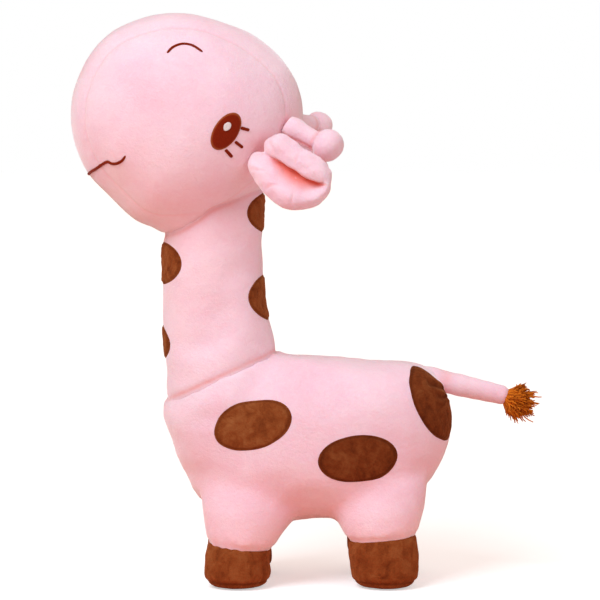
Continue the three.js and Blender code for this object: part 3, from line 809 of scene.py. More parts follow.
@dataclass(frozen=True)
class Stuffing:
    """How a sewn cover swells when it is filled, simulated as cloth under pressure."""

    pressure: float = 4.0
    grow: float = 0.02
    cap: float = 0.0022
    frames: int = 20
    evening: int = 8

    def fill(self, piece: Piece, pinned: Array) -> None:
        """Swells a closed cover between the places where it is sewn.

        The way of each point is cut off at the cap, and then evened out.

        Args:
            piece: the cover.
            pinned: for each vertex, whether it is held where it is.
        """
        scene = bpy.context.scene
        before = points_of(piece)
        group = piece.vertex_groups.new(name="sewn")
        group.add(np.nonzero(pinned)[0].tolist(), 1.0, "REPLACE")
        modifier = piece.modifiers.new("Stuffing", "CLOTH")
        set_all(
            modifier.settings,
            **CLOTH,
            uniform_pressure_force=self.pressure,
            vertex_group_mass=group.name,
            shrink_min=-self.grow,
        )
        modifier.settings.effector_weights.gravity = 0.0
        set_all(modifier.collision_settings, use_collision=False, use_self_collision=False)
        set_all(modifier.point_cache, frame_start=1, frame_end=self.frames)
        set_all(scene, frame_start=1, frame_end=self.frames)
        for frame in range(1, self.frames + 1):
            scene.frame_set(frame)
        settle(piece)
        scene.frame_set(1)
        piece.vertex_groups.clear()
        shift = points_of(piece) - before
        length = np.linalg.norm(shift, axis=1, keepdims=True)
        shift = shift * np.minimum(1.0, self.cap / np.maximum(length, 1e-9))
        move_points(piece, before + evened(piece, shift, self.evening, np.where(pinned, 0.0, 0.6)))


# Finishes


def linear(code: str) -> tuple[float, float, float, float]:
    """A colour written as six hex digits, as linear red, green, blue and alpha.

    Args:
        code: the digits.

    Returns:
        The four values.
    """
    values = [int(code[i : i + 2], 16) / 255 for i in (0, 2, 4)]
    out = [v / 12.92 if v <= 0.04045 else ((v + 0.055) / 1.055) ** 2.4 for v in values]
    return (*out, 1.0)


class Wiring:
    """A node tree under construction."""

    def __init__(self, tree: bpy.types.NodeTree) -> None:
        """Starts from the tree's own nodes."""
        self.tree = tree

    def feed(self, node: bpy.types.Node, inputs: dict[str | int, object]) -> None:
        """Fills a node's inputs: an output is linked to one, and anything else is its value.

        Args:
            node: the node.
            inputs: what goes into each input, by name or number.
        """
        for name, value in inputs.items():
            if isinstance(value, Socket):
                self.tree.links.new(value, node.inputs[name])
            else:
                node.inputs[name].default_value = value

    def node(self, kind: str, inputs: dict[str | int, object], **settings: object) -> bpy.types.Node:
        """Adds a node, sets its properties and fills its inputs.

        Args:
            kind: the node's type.
            inputs: what goes into each input.
            settings: its properties.

        Returns:
            The node.
        """
        made = self.tree.nodes.new(kind)
        set_all(made, **settings)
        self.feed(made, inputs)
        return made

    def mix(self, factor: Socket, first: object, second: object) -> Socket:
        """Mixes two colours."""
        inputs = {"Fac": factor, "Color1": first, "Color2": second}
        return self.node("ShaderNodeMixRGB", inputs).outputs["Color"]

    def spread(self, value: Socket, **ends: float) -> Socket:
        """Maps a value from one range to another, by default to that from 0 to 1."""
        inputs = {"Value": value} | {name.replace("_", " ").title(): end for name, end in ends.items()}
        return self.node("ShaderNodeMapRange", inputs).outputs["Result"]


class Dye(Wiring):
    """A material under construction."""

    def __init__(self, name: str) -> None:
        """Starts a material of that name with a bare shader.

        Args:
            name: the material's name.
        """
        self.material = bpy.data.materials.new(name)
        self.material.use_nodes = True
        super().__init__(self.material.node_tree)
        self.shader = self.tree.nodes["Principled BSDF"]
        self.place = self.node("ShaderNodeTexCoord", {}).outputs["Object"]

    def turned(self, scale: Place, turn: Place) -> Socket:
        """Object coordinates, scaled and turned."""
        inputs = {"Scale": scale, "Rotation": turn, "Vector": self.place}
        return self.node("ShaderNodeMapping", inputs).outputs["Vector"]

    def noise(self, length: float, detail: float, warp: float = 0.0, place: Socket | None = None) -> Socket:
        """Noise whose grains are about one length across."""
        inputs = {"Scale": 1.0 / length, "Detail": detail, "Distortion": warp, "Vector": place or self.place}
        return self.node("ShaderNodeTexNoise", inputs).outputs["Fac"]

    def ramp(self, value: Socket, *stops: tuple[float, str]) -> Socket:
        """Colours laid over a value from 0 to 1.

        Args:
            value: the output that is read.
            stops: places on the ramp with their colours.

        Returns:
            The colour's output.
        """
        made = self.node("ShaderNodeValToRGB", {"Fac": value})
        elements = made.color_ramp.elements
        while len(elements) < len(stops):
            elements.new(0.5)
        for element, (position, code) in zip(elements, stops):
            element.position = position
            element.color = linear(code)
        return made.outputs["Color"]

    def sum(self, *parts: tuple[Socket, float]) -> Socket:
        """Weighted sum of values.

        Args:
            parts: outputs with their weights.

        Returns:
            The sum's output.
        """
        total = 0.0
        for value, weight in parts:
            inputs = {0: value, 1: weight, 2: total}
            total = self.node("ShaderNodeMath", inputs, operation="MULTIPLY_ADD").outputs[0]
        return total

    def attribute(self, name: str) -> Socket:
        """The number that a piece keeps for each vertex under a name."""
        return self.node("ShaderNodeAttribute", {}, attribute_name=name).outputs["Fac"]

    def bump(self, height: Socket, distance: float, strength: float) -> None:
        """Roughens the shader's surface by a height."""
        made = self.node("ShaderNodeBump", {"Distance": distance, "Strength": strength, "Height": height})
        self.feed(self.shader, {"Normal": made.outputs["Normal"]})

    def cloth(self, colour: Socket, roughness: float, sheen: float, sheen_roughness: float, tint: str) -> None:
        """Sets the shader for fabric: rough, hardly glossy, with a soft sheen at grazing angles.

        Args:
            colour: the base colour's output.
            roughness: how rough the surface is.
            sheen: the weight of the sheen.
            sheen_roughness: how soft the sheen is.
            tint: the sheen's colour.
        """
        inputs = self.shader.inputs
        self.feed(self.shader, {"Base Color": colour})
        inputs["Roughness"].default_value = roughness
        inputs["Specular IOR Level"].default_value = 0.08
        inputs["Sheen Weight"].default_value = sheen
        inputs["Sheen Roughness"].default_value = sheen_roughness
        inputs["Sheen Tint"].default_value = linear(tint)


@dataclass(frozen=True)
class Finish:
    """A built material and the slot that goes with it."""

    material: bpy.types.Material
    slot: str


@dataclass(frozen=True)
class PinkPlush:
    """Short, dense, pale pink pile, with a coral shade painted where it is drawn into a seam or a crease."""

    light: str = "fedbe6"
    middle: str = "fbd2e0"
    deep: str = "f8c6d6"
    # colour of the shade painted in seams, creases and folds
    crease: str = "ee7868"
    patch: float = 0.055
    pile: float = 0.0011

    def finish(self) -> Finish:
        """Builds the material.

        Returns:
            The finish: soft clouds of three pinks, a coral painted shade in seams and creases, a fine pile as
                bump, and light that goes a little way in.
        """
        dye = Dye("pink_plush")
        cloud = dye.noise(self.patch, 3.0, 0.4)
        nap = dye.noise(0.006, 3.0, 1.2)
        pile = dye.noise(self.pile, 2.0)
        fluff = dye.noise(0.0028, 3.0, 0.6)
        tone = dye.sum((cloud, 0.62), (nap, 0.22), (pile, 0.16))
        colour = dye.ramp(tone, (0.34, self.deep), (0.5, self.middle), (0.64, self.light))
        # painted shade: the colour goes towards coral by the shade value painted on each vertex
        colour = dye.mix(dye.attribute("crease"), colour, linear(self.crease))
        dye.bump(dye.sum((pile, 0.6), (fluff, 0.8), (nap, 0.35)), 0.0012, 0.4)
        dye.cloth(colour, 0.95, 0.9, 0.45, "fff8fa")
        dye.shader.inputs["Subsurface Weight"].default_value = 0.18
        dye.shader.inputs["Subsurface Radius"].default_value = (0.012, 0.003, 0.002)
        dye.shader.inputs["Subsurface Scale"].default_value = 1.0
        return Finish(dye.material, "plush")


@dataclass(frozen=True)
class BrownPlush:
    """Chestnut pile, brushed in different directions in small patches."""

    name: str = "brown_plush"
    dark: str = "5e240a"
    middle: str = "88441f"
    light: str = "9e5e35"

    def finish(self) -> Finish:
        """Builds the material.

        Returns:
            The finish: brushed patches of three browns, with the same patches and a fine pile as bump.
        """
        dye = Dye(self.name)
        brushed = dye.noise(0.0085, 4.0, 0.9, dye.turned((1.0, 1.0, 0.75), (0.2, 0.5, 0.3)))
        nap = dye.noise(0.0042, 3.0, 0.8)
        pile = dye.noise(0.0011, 2.0)
        tone = dye.sum((brushed, 0.62), (nap, 0.26), (pile, 0.14))
        colour = dye.ramp(tone, (0.26, self.dark), (0.5, self.middle), (0.74, self.light))
        # painted shade: the darkest brown where folds, stitched rims and the hoof's groove carry painted shade
        colour = dye.mix(dye.attribute("crease"), colour, linear(self.dark))
        dye.bump(dye.sum((pile, 0.6), (nap, 1.0), (brushed, 1.6)), 0.0013, 0.6)
        dye.cloth(colour, 0.9, 0.35, 0.4, "e0955c")
        return Finish(dye.material, "brown_plush")


@dataclass(frozen=True)
class SatinThread:
    """Embroidery thread laid side by side, with a soft shine."""

    name: str
    colour: str
    shadow: str
    rim: str
    stitch: float = 0.0007
    turn: float = 0.9

    def finish(self) -> Finish:
        """Builds the material: fine parallel stitches, and a rim of another shade.

        Returns:
            The finish.
        """
        dye = Dye(self.name)
        inputs = {
            "Scale": TURN / 20.0 / self.stitch,
            "Distortion": 1.5,
            "Detail": 2.0,
            "Detail Scale": 2.0,
            "Vector": dye.turned((1.0, 1.0, 1.0), (0.0, self.turn, 0.0)),
        }
        laid = dye.node("ShaderNodeTexWave", inputs, wave_type="BANDS", bands_direction="X").outputs["Fac"]
        tone = dye.sum((laid, 0.6), (dye.noise(0.004, 3.0), 0.4))
        colour = dye.ramp(tone, (0.2, self.shadow), (0.7, self.colour))
        colour = dye.mix(dye.attribute("rim"), colour, linear(self.rim))
        dye.bump(laid, 0.0004, 0.5)
        dye.cloth(colour, 0.55, 0.0, 0.4, self.rim)
        return Finish(dye.material, self.name)


@dataclass(frozen=True)
class Yarn:
    """Loose twisted yarn in varied orange browns."""

    dark: str = "8f3c06"
    light: str = "dd7a1c"

    def finish(self) -> Finish:
        """Builds the material.

        Returns:
            The finish: each strand's own tone between two browns.
        """
        dye = Dye("yarn")
        tone = dye.sum((dye.attribute("strand"), 0.7), (dye.noise(0.0012, 2.0), 0.5))
        dye.bump(dye.noise(0.0008, 2.0), 0.0004, 0.6)
        dye.cloth(dye.ramp(tone, (0.2, self.dark), (0.85, self.light)), 0.85, 0.3, 0.4, "f0a860")
        return Finish(dye.material, "yarn")


class Wardrobe:
    """Every finish, built."""

    def __init__(self) -> None:
        """Builds the materials."""
        self.plush = PinkPlush().finish()
        self.brown = BrownPlush().finish()
        # a darker copy of the brown plush: painted shade for the spots on the belly and the rump
        self.shaded_brown = BrownPlush("shaded_brown_plush", "4a1906", "743415", "8a4c28").finish()
        self.thread = SatinThread("brown_thread", "8c2304", "741a00", "a0502a").finish()
        self.pale = SatinThread("pale_thread", "f7efee", "e3d3d0", "dcc4bd").finish()
        self.yarn = Yarn().finish()


def hand_over(
    piece: Piece,
    finish: Finish,
    *nodes: str,
    body: str = ROOT_BODY,
    fill: float = 0.0,
    root: Pair | None = None,
) -> Piece:
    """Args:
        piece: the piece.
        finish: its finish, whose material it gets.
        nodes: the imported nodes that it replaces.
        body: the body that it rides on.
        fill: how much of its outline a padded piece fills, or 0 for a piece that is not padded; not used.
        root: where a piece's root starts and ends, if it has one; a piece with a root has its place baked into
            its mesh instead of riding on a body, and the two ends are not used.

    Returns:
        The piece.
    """
    piece.data.materials.clear()
    piece.data.materials.append(finish.material)
    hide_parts(*nodes)
    if root is None:
        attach(piece, body)
    else:
        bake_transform(piece)
    log.info("%s: %d vertices", piece.name, len(piece.data.vertices))
    return piece


# The toy's sub-assemblies

BELLY_HEIGHT = 0.0425
TORSO = Pillow(
    half_length=0.098,
    half_height=0.058,
    half_width=0.052,
    fullness=0.84,
    shares=(
        1.012, 1.11, 1.23, 1.08, 1.03, 1.145, 1.175, 1.135,
        0.968, 0.952, 1.07, 1.01, 0.965, 0.97, 1.035, 1.0,
    ),
    centre=(0.000255, 0.0, BELLY_HEIGHT + 0.965 * 0.058),
)
TAIL_ANGLE = math.radians(33)
SEAM_ANGLES = np.linspace(0.0, TURN, 241)
MIDDLE_ANGLES = np.linspace(0.0, TURN, 361)


@dataclass(frozen=True)
class LegShape:
    """What differs between a front leg and a hind one, as shares of the lengths that they share."""

    place: float
    seam: float
    lean: float
    slope: float
    lean_shares: Shares
    depth_shares: Shares


LEG_SHAPES = {
    "front": LegShape(
        place=-0.5,
        seam=0.029,
        lean=0.009,
        slope=-0.13,
        lean_shares=(0, 0, 0, 0.31, 0.61, 0.84, 0.92, 1, 1),
        depth_shares=(1, 1, 1, 1.08, 1.27, 1.43, 1.49, 1.46, 1.33),
    ),
    "hind": LegShape(
        place=0.54,
        seam=0.035,
        lean=-0.0031,
        slope=0.09,
        lean_shares=(0, 0, 0.33, 0.66, 1, 1, 0.8, 0.5, 0.3),
        depth_shares=(1.015, 1.015, 1.045, 1.09, 1.23, 1.36, 1.39, 1.39, 1.33),
    ),
}


@dataclass(frozen=True)
class Hips:
    """Places of the legs and of their hooves' seams."""

    edge_radius: float = 0.0105
    sole_height: float = 0.0046
    side: float = 0.56 * TORSO.half_width
    top_share: float = 0.75

    def leg(self, shape: LegShape, side: Side) -> Upright:
        """One leg's form, down to the floor.

        Args:
            shape: what is its own for a front leg or a hind one.
            side: the side that it stands on.

        Returns:
            The leg's form.
        """
        return Upright(
            height=BELLY_HEIGHT + self.top_share * TORSO.half_height,
            half_depth=0.0228,
            half_width=0.022,
            foot=(shape.place * TORSO.half_length + TORSO.centre[0], 0.0, 0.0),
            lean=shape.lean,
            lean_shares=shape.lean_shares,
            depth_shares=shape.depth_shares,
            width_shares=(1, 1, 1, 1.02, 1.07, 1.09, 1.06, 1, 0.9),
            side=side.value * self.side,
            side_shares=(1, 1, 1, 0.98, 0.95, 0.89, 0.8, 0.7, 0.6),
            slope=shape.slope,
            slope_from=self.edge_radius,
            slope_to=shape.seam,
        )

    def legs(self) -> list[tuple[str, Upright, float]]:
        """Every leg with its name and the height of its hoof's seam.

        Returns:
            For each leg its name, its form and the height of its hoof's seam.
        """
        return [
            (f"{end}_{side.word}", self.leg(shape, side), shape.seam)
            for end, shape in LEG_SHAPES.items()
            for side in Side
        ]


HIPS = Hips()


@dataclass
class Neck:
    """The neck, a tube from the torso's shoulder up into the head."""

    seat_angle: float = math.radians(120)
    head_seat_angle: float = math.radians(284)
    length: float = 0.093
    tuck: float = 0.033
    form: Upright = field(init=False)
    top: Array = field(init=False)

    def __post_init__(self) -> None:
        """Places the neck on the torso."""
        foot = TORSO.at(self.seat_angle, 0.0)
        height = self.length + 2 * self.tuck
        shares = (1.26, 1.17, 1.075, 1.02, 1, 1, 0.99, 0.98)
        self.form = Upright(
            height=height,
            half_depth=0.0355,
            half_width=0.035,
            foot=(foot[0], 0.0, foot[2] - self.tuck),
            lean=-0.0097,
            lean_shares=(-0.25, 0.1, 0.5, 0.8, 0.92, 0.9, 0.88, 0.8),
            depth_shares=shares,
            width_shares=shares,
        )
        self.top = self.form.axis_at(1.0 - self.tuck / height)


NECK = Neck()
HEAD_AT_ORIGIN = Pillow(
    half_length=0.078,
    half_height=0.078,
    half_width=0.066,
    fullness=0.94,
    shares=(
        1.025, 1.03, 0.98, 0.952, 0.978, 1.014, 1.072, 1.068,
        1.056, 1.01, 0.966, 1.0, 0.94, 0.905, 0.896, 0.958,
    ),
    centre=(0.0, 0.0, 0.0),
)
HEAD_SEAT = HEAD_AT_ORIGIN.at(NECK.head_seat_angle, 0.0)
HEAD = replace(HEAD_AT_ORIGIN, centre=tuple(NECK.top - HEAD_SEAT))


def below_shoulder(points: Array) -> Array:
    """Whether places lie below the seam between neck and torso, a shallow curve in the side view."""
    run = points[..., 0] + 0.0961
    return points[..., 2] < 0.1290 + 0.53 * run - 1.2 * run**2


def above_throat(points: Array) -> Array:
    """Whether places lie above the front of the seam between neck and head, or inside the head."""
    run = np.maximum(points[..., 0] + 0.101, 0.0)
    return (points[..., 2] > 0.2407 + 0.219 * run + 9.15 * run**2) | (HEAD.level(points) < 1.0)


def neck_foot(angles: Array) -> Array:
    """Place of the neck's lower seam along the neck, for each angle round it."""
    return NECK.form.crossing(below_shoulder, angles, False)


def neck_top(angles: Array) -> Array:
    """Place of the neck's upper seam along the neck, for each angle round it."""
    return NECK.form.crossing(above_throat, angles, True)


NECK_FOOT_SEAM = NECK.form.at(neck_foot(SEAM_ANGLES), SEAM_ANGLES)
NECK_TOP_SEAM = NECK.form.at(neck_top(SEAM_ANGLES), SEAM_ANGLES)
TOP_PUCKERS = {"pucker": 0.0004, "pitch": 0.016, "reach": 0.008}
# the neck's upper seam, with a shade painted along it
TOP_STITCHING = Seam(NECK_TOP_SEAM, depth=0.0008, width=0.0024, **TOP_PUCKERS, tint=0.4, tint_width=0.0016)


def foot_stitching(depth: float) -> Seam:
    """The neck's lower seam, drawn in by a depth, with a shade painted along it."""
    puckers = {"pucker": 0.0003, "pitch": 0.017, "reach": 0.008}
    return Seam(NECK_FOOT_SEAM, depth, width=0.0022, **puckers, tint=0.5, tint_width=0.0016)


def seat_on(form: Pillow, angle: float, tilt: float, radius: float, sink: float) -> Pair:
    """Centre of a round root that lies in a dent of a form, and the form's normal there.

    Args:
        form: the form.
        angle: angle round its outline.
        tilt: tilt out to its flank.
        radius: the root's radius.
        sink: how far the root goes into the dent.

    Returns:
        The centre and the normal.
    """
    gap = 0.00035
    normal = form.normal(angle, tilt)
    return form.at(angle, tilt) + normal * (radius + gap - sink), normal


@dataclass
class Torso:
    """The stuffed body with its four legs, sewn as one cover down to the hooves."""

    wardrobe: Wardrobe
    voxel: float = 0.005
    inset: float = 0.0016
    leg_tuck: float = 0.005
    leg_top: float = 0.97
    collar_reach: float = -0.026
    collar_flare: float = 0.0125
    front_flare: float = 0.0035
    chest: Place = (-0.089, 0.0, 0.087)
    chest_fill: float = 0.0030
    chest_reach: float = 0.018
    stuffing: Stuffing = Stuffing(grow=0.03)

    def cover(self) -> Piece:
        """Torso, legs and the neck's foot as overlapping closed skins.

        Returns:
            The piece, not yet remeshed.
        """
        groups = [TORSO.skin(96, 47, self.inset)]
        angles = even_angles(48)
        hem, hem_inset = 0.004, 0.004
        for _, leg, seam in HIPS.legs():
            alongs = np.linspace(seam - self.leg_tuck, leg.height * self.leg_top, 22) / leg.height
            below = np.maximum(seam + hem - alongs * leg.height, 0.0) / (self.leg_tuck + hem)
            inset = 0.0002 + hem_inset * below**1.5
            rings = leg.at(alongs[:, None], angles[None, :], inset[:, None])
            groups.append(closed_skin(rings, leg.axis_at(alongs[0]), leg.axis_at(alongs[-1])))
        angles = even_angles(72)
        front = np.maximum(-np.cos(angles), 0.0) ** 2
        flare = self.collar_flare - (self.collar_flare - self.front_flare) * front
        groups.append(NECK.form.collar(neck_foot(angles), angles, self.collar_reach, flare, TORSO))
        return make_piece("body", *joined(groups))

    def seams(self) -> list[Seam]:
        """The seams of the back, belly, neck and hooves, and the gathers round the tail, each with a shade
        painted along it.

        Returns:
            The seams.
        """
        middle = TORSO.at(MIDDLE_ANGLES, np.zeros_like(MIDDLE_ANGLES), self.inset)
        tail = TORSO.at(TAIL_ANGLE, 0.0)
        found = [
            Seam(middle, depth=0.0007, width=0.0016, pucker=0.0003, tint=0.2, tint_width=0.0014),
            foot_stitching(0.0006),
            # painted shade in a wide ring round the tail's root
            Seam(tail[None, :], depth=0.0022, width=0.008, tint=0.45, tint_width=0.008),
        ]
        hoof = {"depth": 0.0008, "width": 0.002, "pucker": 0.0004, "pitch": 0.009, "reach": 0.005}
        groin = {"depth": 0.0, "width": 0.004, "pucker": 0.0004, "pitch": 0.021, "reach": 0.012}
        for _, leg, seam in HIPS.legs():
            ring = leg.at(np.full_like(SEAM_ANGLES, seam / leg.height), SEAM_ANGLES)
            join = leg.join(TORSO, SEAM_ANGLES)
            found.append(Seam(ring, **hoof, tint=0.35, tint_width=0.0018))
            # painted shade where the leg joins the torso
            found.append(Seam(join, **groin, tint=0.1, tint_width=0.008))
        return found

    def joins(self, points: Array) -> Array:
        """How near places are to where a leg or the neck joins the torso, from 0 to 1.

        It is a bell curve of the distance, wider round the legs on the flanks than under the belly.

        Args:
            points: places on the cover.

        Returns:
            One value for each place.
        """
        on_flank = smooth_step((np.abs(points[:, 1]) - 0.016) / 0.014)
        reach = 0.013 + 0.011 * on_flank
        lowered = NECK_FOOT_SEAM - 0.012 * UP
        near = bell(nearest_on(points, lowered)[0], 0.017)
        for _, leg, _ in HIPS.legs():
            near = np.maximum(near, bell(nearest_on(points, leg.join(TORSO, SEAM_ANGLES))[0], reach))
        return near

    def pinned(self, points: Array) -> Array:
        """Which places are held by a seam while the body is filled.

        Args:
            points: places on the cover.

        Returns:
            For each place, whether it is held.
        """
        held = np.abs(points[:, 1]) < self.voxel * 0.6
        held |= nearest_on(points, NECK_FOOT_SEAM)[0] < 0.006
        for _, leg, seam in HIPS.legs():
            held |= (np.abs(points - leg.axis_at(seam / leg.height)) < (0.04, 0.04, 0.007)).all(axis=1)
        return held

    def gathers(self, points: Array) -> Array:
        """Creases that run out from the tail's root.

        They are waves of the angle round it, and fade with the distance from a ring round it.

        Args:
            points: places on the skin.

        Returns:
            How far each place is drawn in.
        """
        across = unit(np.cross(TORSO.normal(TAIL_ANGLE, 0.0), ACROSS))
        local = points - TORSO.at(TAIL_ANGLE, 0.0)
        turn = np.arctan2(local[:, 1], local @ across)
        fade = bell(np.linalg.norm(local, axis=1) - 0.010, 0.012)
        return 0.0012 * fade * (0.5 + 0.5 * np.cos(7 * turn + 1.3 * np.sin(2 * turn)))

    def relief(self, points: Array) -> Array:
        """How far the filled skin stands out: soft waves and a full chest, less the gathers.

        Args:
            points: places on the skin.

        Returns:
            One height for each place.
        """
        soft = soft_waves(points, (0.0003, 0.05, 11), (0.00008, 0.016, 12))
        from_chest = (points - self.chest) * (1.0, 0.6, 1.0) / self.chest_reach
        full = self.chest_fill * np.exp(-(from_chest**2).sum(axis=1))
        return soft + full - self.gathers(points)

    def build(self) -> Piece:
        """Builds, fills, sews and dresses the body.

        Returns:
            The body's piece.
        """
        piece = modified(self.cover(), "REMESH", mode="VOXEL", voxel_size=self.voxel)
        joins = self.joins(points_of(piece))
        drawn_onto(piece, TORSO, self.inset, joins)
        filled_out(piece, 28, 0.7 * joins)
        self.stuffing.fill(piece, self.pinned(points_of(piece)))
        modified(piece, "SUBSURF", levels=2, render_levels=2)
        shifted(piece, self.relief)
        sew(piece, self.seams())
        panels = ("body_side_left", "body_side_right", "body_filling")
        legs = [f"leg_{part}_{name}" for name, _, _ in HIPS.legs() for part in ("cover", "filling")]
        return hand_over(piece, self.wardrobe.plush, *panels, *legs, fill=0.85)


@dataclass
class Hoof:
    """One hoof of brown plush with its flat sole."""

    wardrobe: Wardrobe
    name: str
    form: Upright
    seam: float
    around: int = 96
    top_round: float = 0.0034
    top_draw: float = 0.0016
    sole_groove: float = 0.0007
    gathers: int = 17
    gather_depth: float = 0.0006

    def inset_at(self, z: Array) -> Array:
        """How far the wall is drawn in at a height: round at the foot, and in to the seam above.

        Args:
            z: heights over the floor.

        Returns:
            One inset for each height.
        """
        share = np.minimum(z / HIPS.edge_radius, 1.0)
        foot = HIPS.edge_radius * (1.0 - np.sqrt(1.0 - (1.0 - share) ** 2))
        up = np.clip((z - (self.seam - self.top_round)) / self.top_round, 0.0, 1.0)
        near_top = bell(self.seam - z, 0.007)
        top = self.top_round * (1.0 - np.sqrt(1.0 - up**2)) * 0.9 + self.top_draw * near_top
        return foot + top + self.sole_groove * bell(z - HIPS.sole_height, 0.0011)

    def wall(self) -> Array:
        """Rings up the wall: inset ellipses of the leg's form, wavy, and gathered at the seam.

        Returns:
            Points of shape (rings, around, 3), from the floor to the seam.
        """
        angles = even_angles(self.around)
        foot = np.linspace(0.0, HIPS.edge_radius, 14)
        heights = np.concatenate([foot, np.linspace(HIPS.edge_radius, self.seam, 22)[1:]])
        alongs = heights / self.form.height
        rings = self.form.at(alongs[:, None], angles[None, :], self.inset_at(heights)[:, None])
        centre = self.form.axis_at(alongs)[:, None, :]
        outward = unit((rings - centre) * (1.0, 1.0, 0.0))
        wobble = soft_waves(rings, (0.0003, 0.024, 31), (0.0001, 0.007, 32))
        near_seam = np.exp(-(self.seam - heights) / 0.005)[:, None]
        gather = near_seam * self.gather_depth * (0.5 + 0.5 * np.cos(self.gathers * angles))[None, :]
        rings = rings + outward * (wobble - gather)[..., None]
        rings[0, :, 2] = 0.0
        return rings

    def build(self) -> None:
        """Builds and dresses the hoof: its wall, a flat sole and a lid inside the seam."""
        wall = self.wall()
        foot, top = self.form.axis_at(0.0), wall[-1].mean(axis=0)
        shrink = np.array([0.3, 0.62, 0.86])[:, None, None]
        sole = foot + (wall[0] - foot) * shrink
        lid = top + (wall[-1] - top) * shrink[::-1] + 0.0002 * UP
        skin = closed_skin(np.concatenate([sole, wall, lid]), foot, top)
        piece = make_piece(f"hoof_{self.name}", *skin)
        # painted shade in the groove just above the sole
        give_value(piece, "crease", 0.8 * bell(points_of(piece)[:, 2] - HIPS.sole_height, 0.0009))
        hand_over(piece, self.wardrobe.brown, f"hoof_cover_{self.name}", f"sole_{self.name}", fill=0.9)


@dataclass
class NeckCover:
    """The neck's cover, tucked into the torso and the head."""

    wardrobe: Wardrobe
    around: int = 108
    rows: int = 64
    tuck: float = 0.008
    held_within: float = 0.003
    stuffing: Stuffing = Stuffing(evening=14)

    def build(self) -> Piece:
        """Builds the tube between its two seams, fills it, sews it and dresses it.

        Each row lies at an equal share of the way between the two seams, and the rows past a seam
        go on into the torso or the head.

        Returns:
            The neck's piece.
        """
        form = NECK.form
        angles = even_angles(self.around)
        low, high = neck_foot(angles), neck_top(angles)
        tuck = self.tuck / form.height
        shares = np.linspace(0.0, 1.0, self.rows)[:, None]
        alongs = low - tuck + (high - low + 2 * tuck) * shares
        beyond = np.maximum(low - alongs, alongs - high) / tuck
        inset = 0.0006 + 0.004 * np.clip(beyond, 0.0, 1.0) ** 1.3
        piece = make_piece("neck", *closed_skin(form.at(alongs, angles[None, :], inset)))
        points = points_of(piece)
        near = np.minimum(nearest_on(points, NECK_FOOT_SEAM)[0], nearest_on(points, NECK_TOP_SEAM)[0])
        self.stuffing.fill(piece, (near < self.held_within) | np.append(beyond.ravel() > 0, [True, True]))
        modified(piece, "SUBSURF", levels=1, render_levels=1)
        shifted(piece, lambda places: soft_waves(places, (0.0003, 0.045, 21), (0.00006, 0.015, 22)))
        sew(piece, [foot_stitching(0.0007), TOP_STITCHING])
        return hand_over(piece, self.wardrobe.plush, "neck_cover", "neck_filling", fill=0.85)


@dataclass
class Head:
    """The head, two cheek panels with a gusset between them."""

    wardrobe: Wardrobe
    voxel: float = 0.0045
    inset: float = 0.0018
    seam_tilt: float = math.radians(31)
    skirt_reach: float = 0.018
    skirt_flare: float = 0.008
    front_flare: float = 0.022
    stuffing: Stuffing = Stuffing(cap=0.0018, evening=12)

    def cover(self) -> Piece:
        """The head's skin and the neck's top as overlapping closed skins.

        Returns:
            The piece, not yet remeshed.
        """
        angles = even_angles(72)
        front = np.maximum(-np.cos(angles), 0.0) ** 2
        flare = self.skirt_flare + (self.front_flare - self.skirt_flare) * front
        skirt = NECK.form.collar(neck_top(angles), angles, self.skirt_reach, flare, HEAD, power=1.1)
        return make_piece("head", *joined([HEAD.skin(96, 63, self.inset), skirt]))

    def build(self) -> Piece:
        """Builds, fills, sews and dresses the head.

        Returns:
            The head's piece.
        """
        piece = modified(self.cover(), "REMESH", mode="VOXEL", voxel_size=self.voxel)
        joins = bell(nearest_on(points_of(piece), NECK_TOP_SEAM + 0.006 * UP)[0], 0.014)
        drawn_onto(piece, HEAD, self.inset, joins)
        filled_out(piece, 14, 0.7 * joins)
        tilts = [np.full_like(MIDDLE_ANGLES, side.value * self.seam_tilt) for side in Side]
        lines = [HEAD.at(MIDDLE_ANGLES, tilt, self.inset) for tilt in tilts]
        points = points_of(piece)
        pinned = nearest_on(points, NECK_TOP_SEAM)[0] < 0.005
        for line in lines:
            pinned |= nearest_on(points, line)[0] < self.voxel * 0.55
        self.stuffing.fill(piece, pinned)
        modified(piece, "SUBSURF", levels=2, render_levels=2)
        shifted(piece, lambda places: soft_waves(places, (0.0003, 0.055, 41), (0.00006, 0.016, 42)))
        # seams with painted shade: the gusset's two lines, the neck's top, and a wide ring round each ear's
        # and horn's root
        roots = [seat(side)[0][None, :] for seat in (ear_seat, horn_seat) for side in Side]
        fine = {"depth": 0.0005, "width": 0.0013, "pucker": 0.0002, "pitch": 0.012, "reach": 0.006}
        seams = [Seam(line, **fine, tint=0.14, tint_width=0.0012) for line in lines]
        seams += [TOP_STITCHING]
        seams += [Seam(root, depth=0.0022, width=0.0085, tint=0.45, tint_width=0.0095) for root in roots]
        sew(piece, seams)
        panels = ("head_side_left", "head_side_right", "head_gusset", "head_filling")
        return hand_over(piece, self.wardrobe.plush, *panels, fill=0.9)


def ear_seat(side: Side) -> Pair:
    """Centre of an ear's root and the head's normal there."""
    return seat_on(HEAD, math.radians(-19.6), side.value * math.radians(44.7), radius=0.0046, sink=0.0014)


def horn_seat(side: Side) -> Pair:
    """Centre of a horn's root and the head's normal there."""
    return seat_on(HEAD, math.radians(-1), side.value * math.radians(28.5), radius=0.006, sink=0.0019)


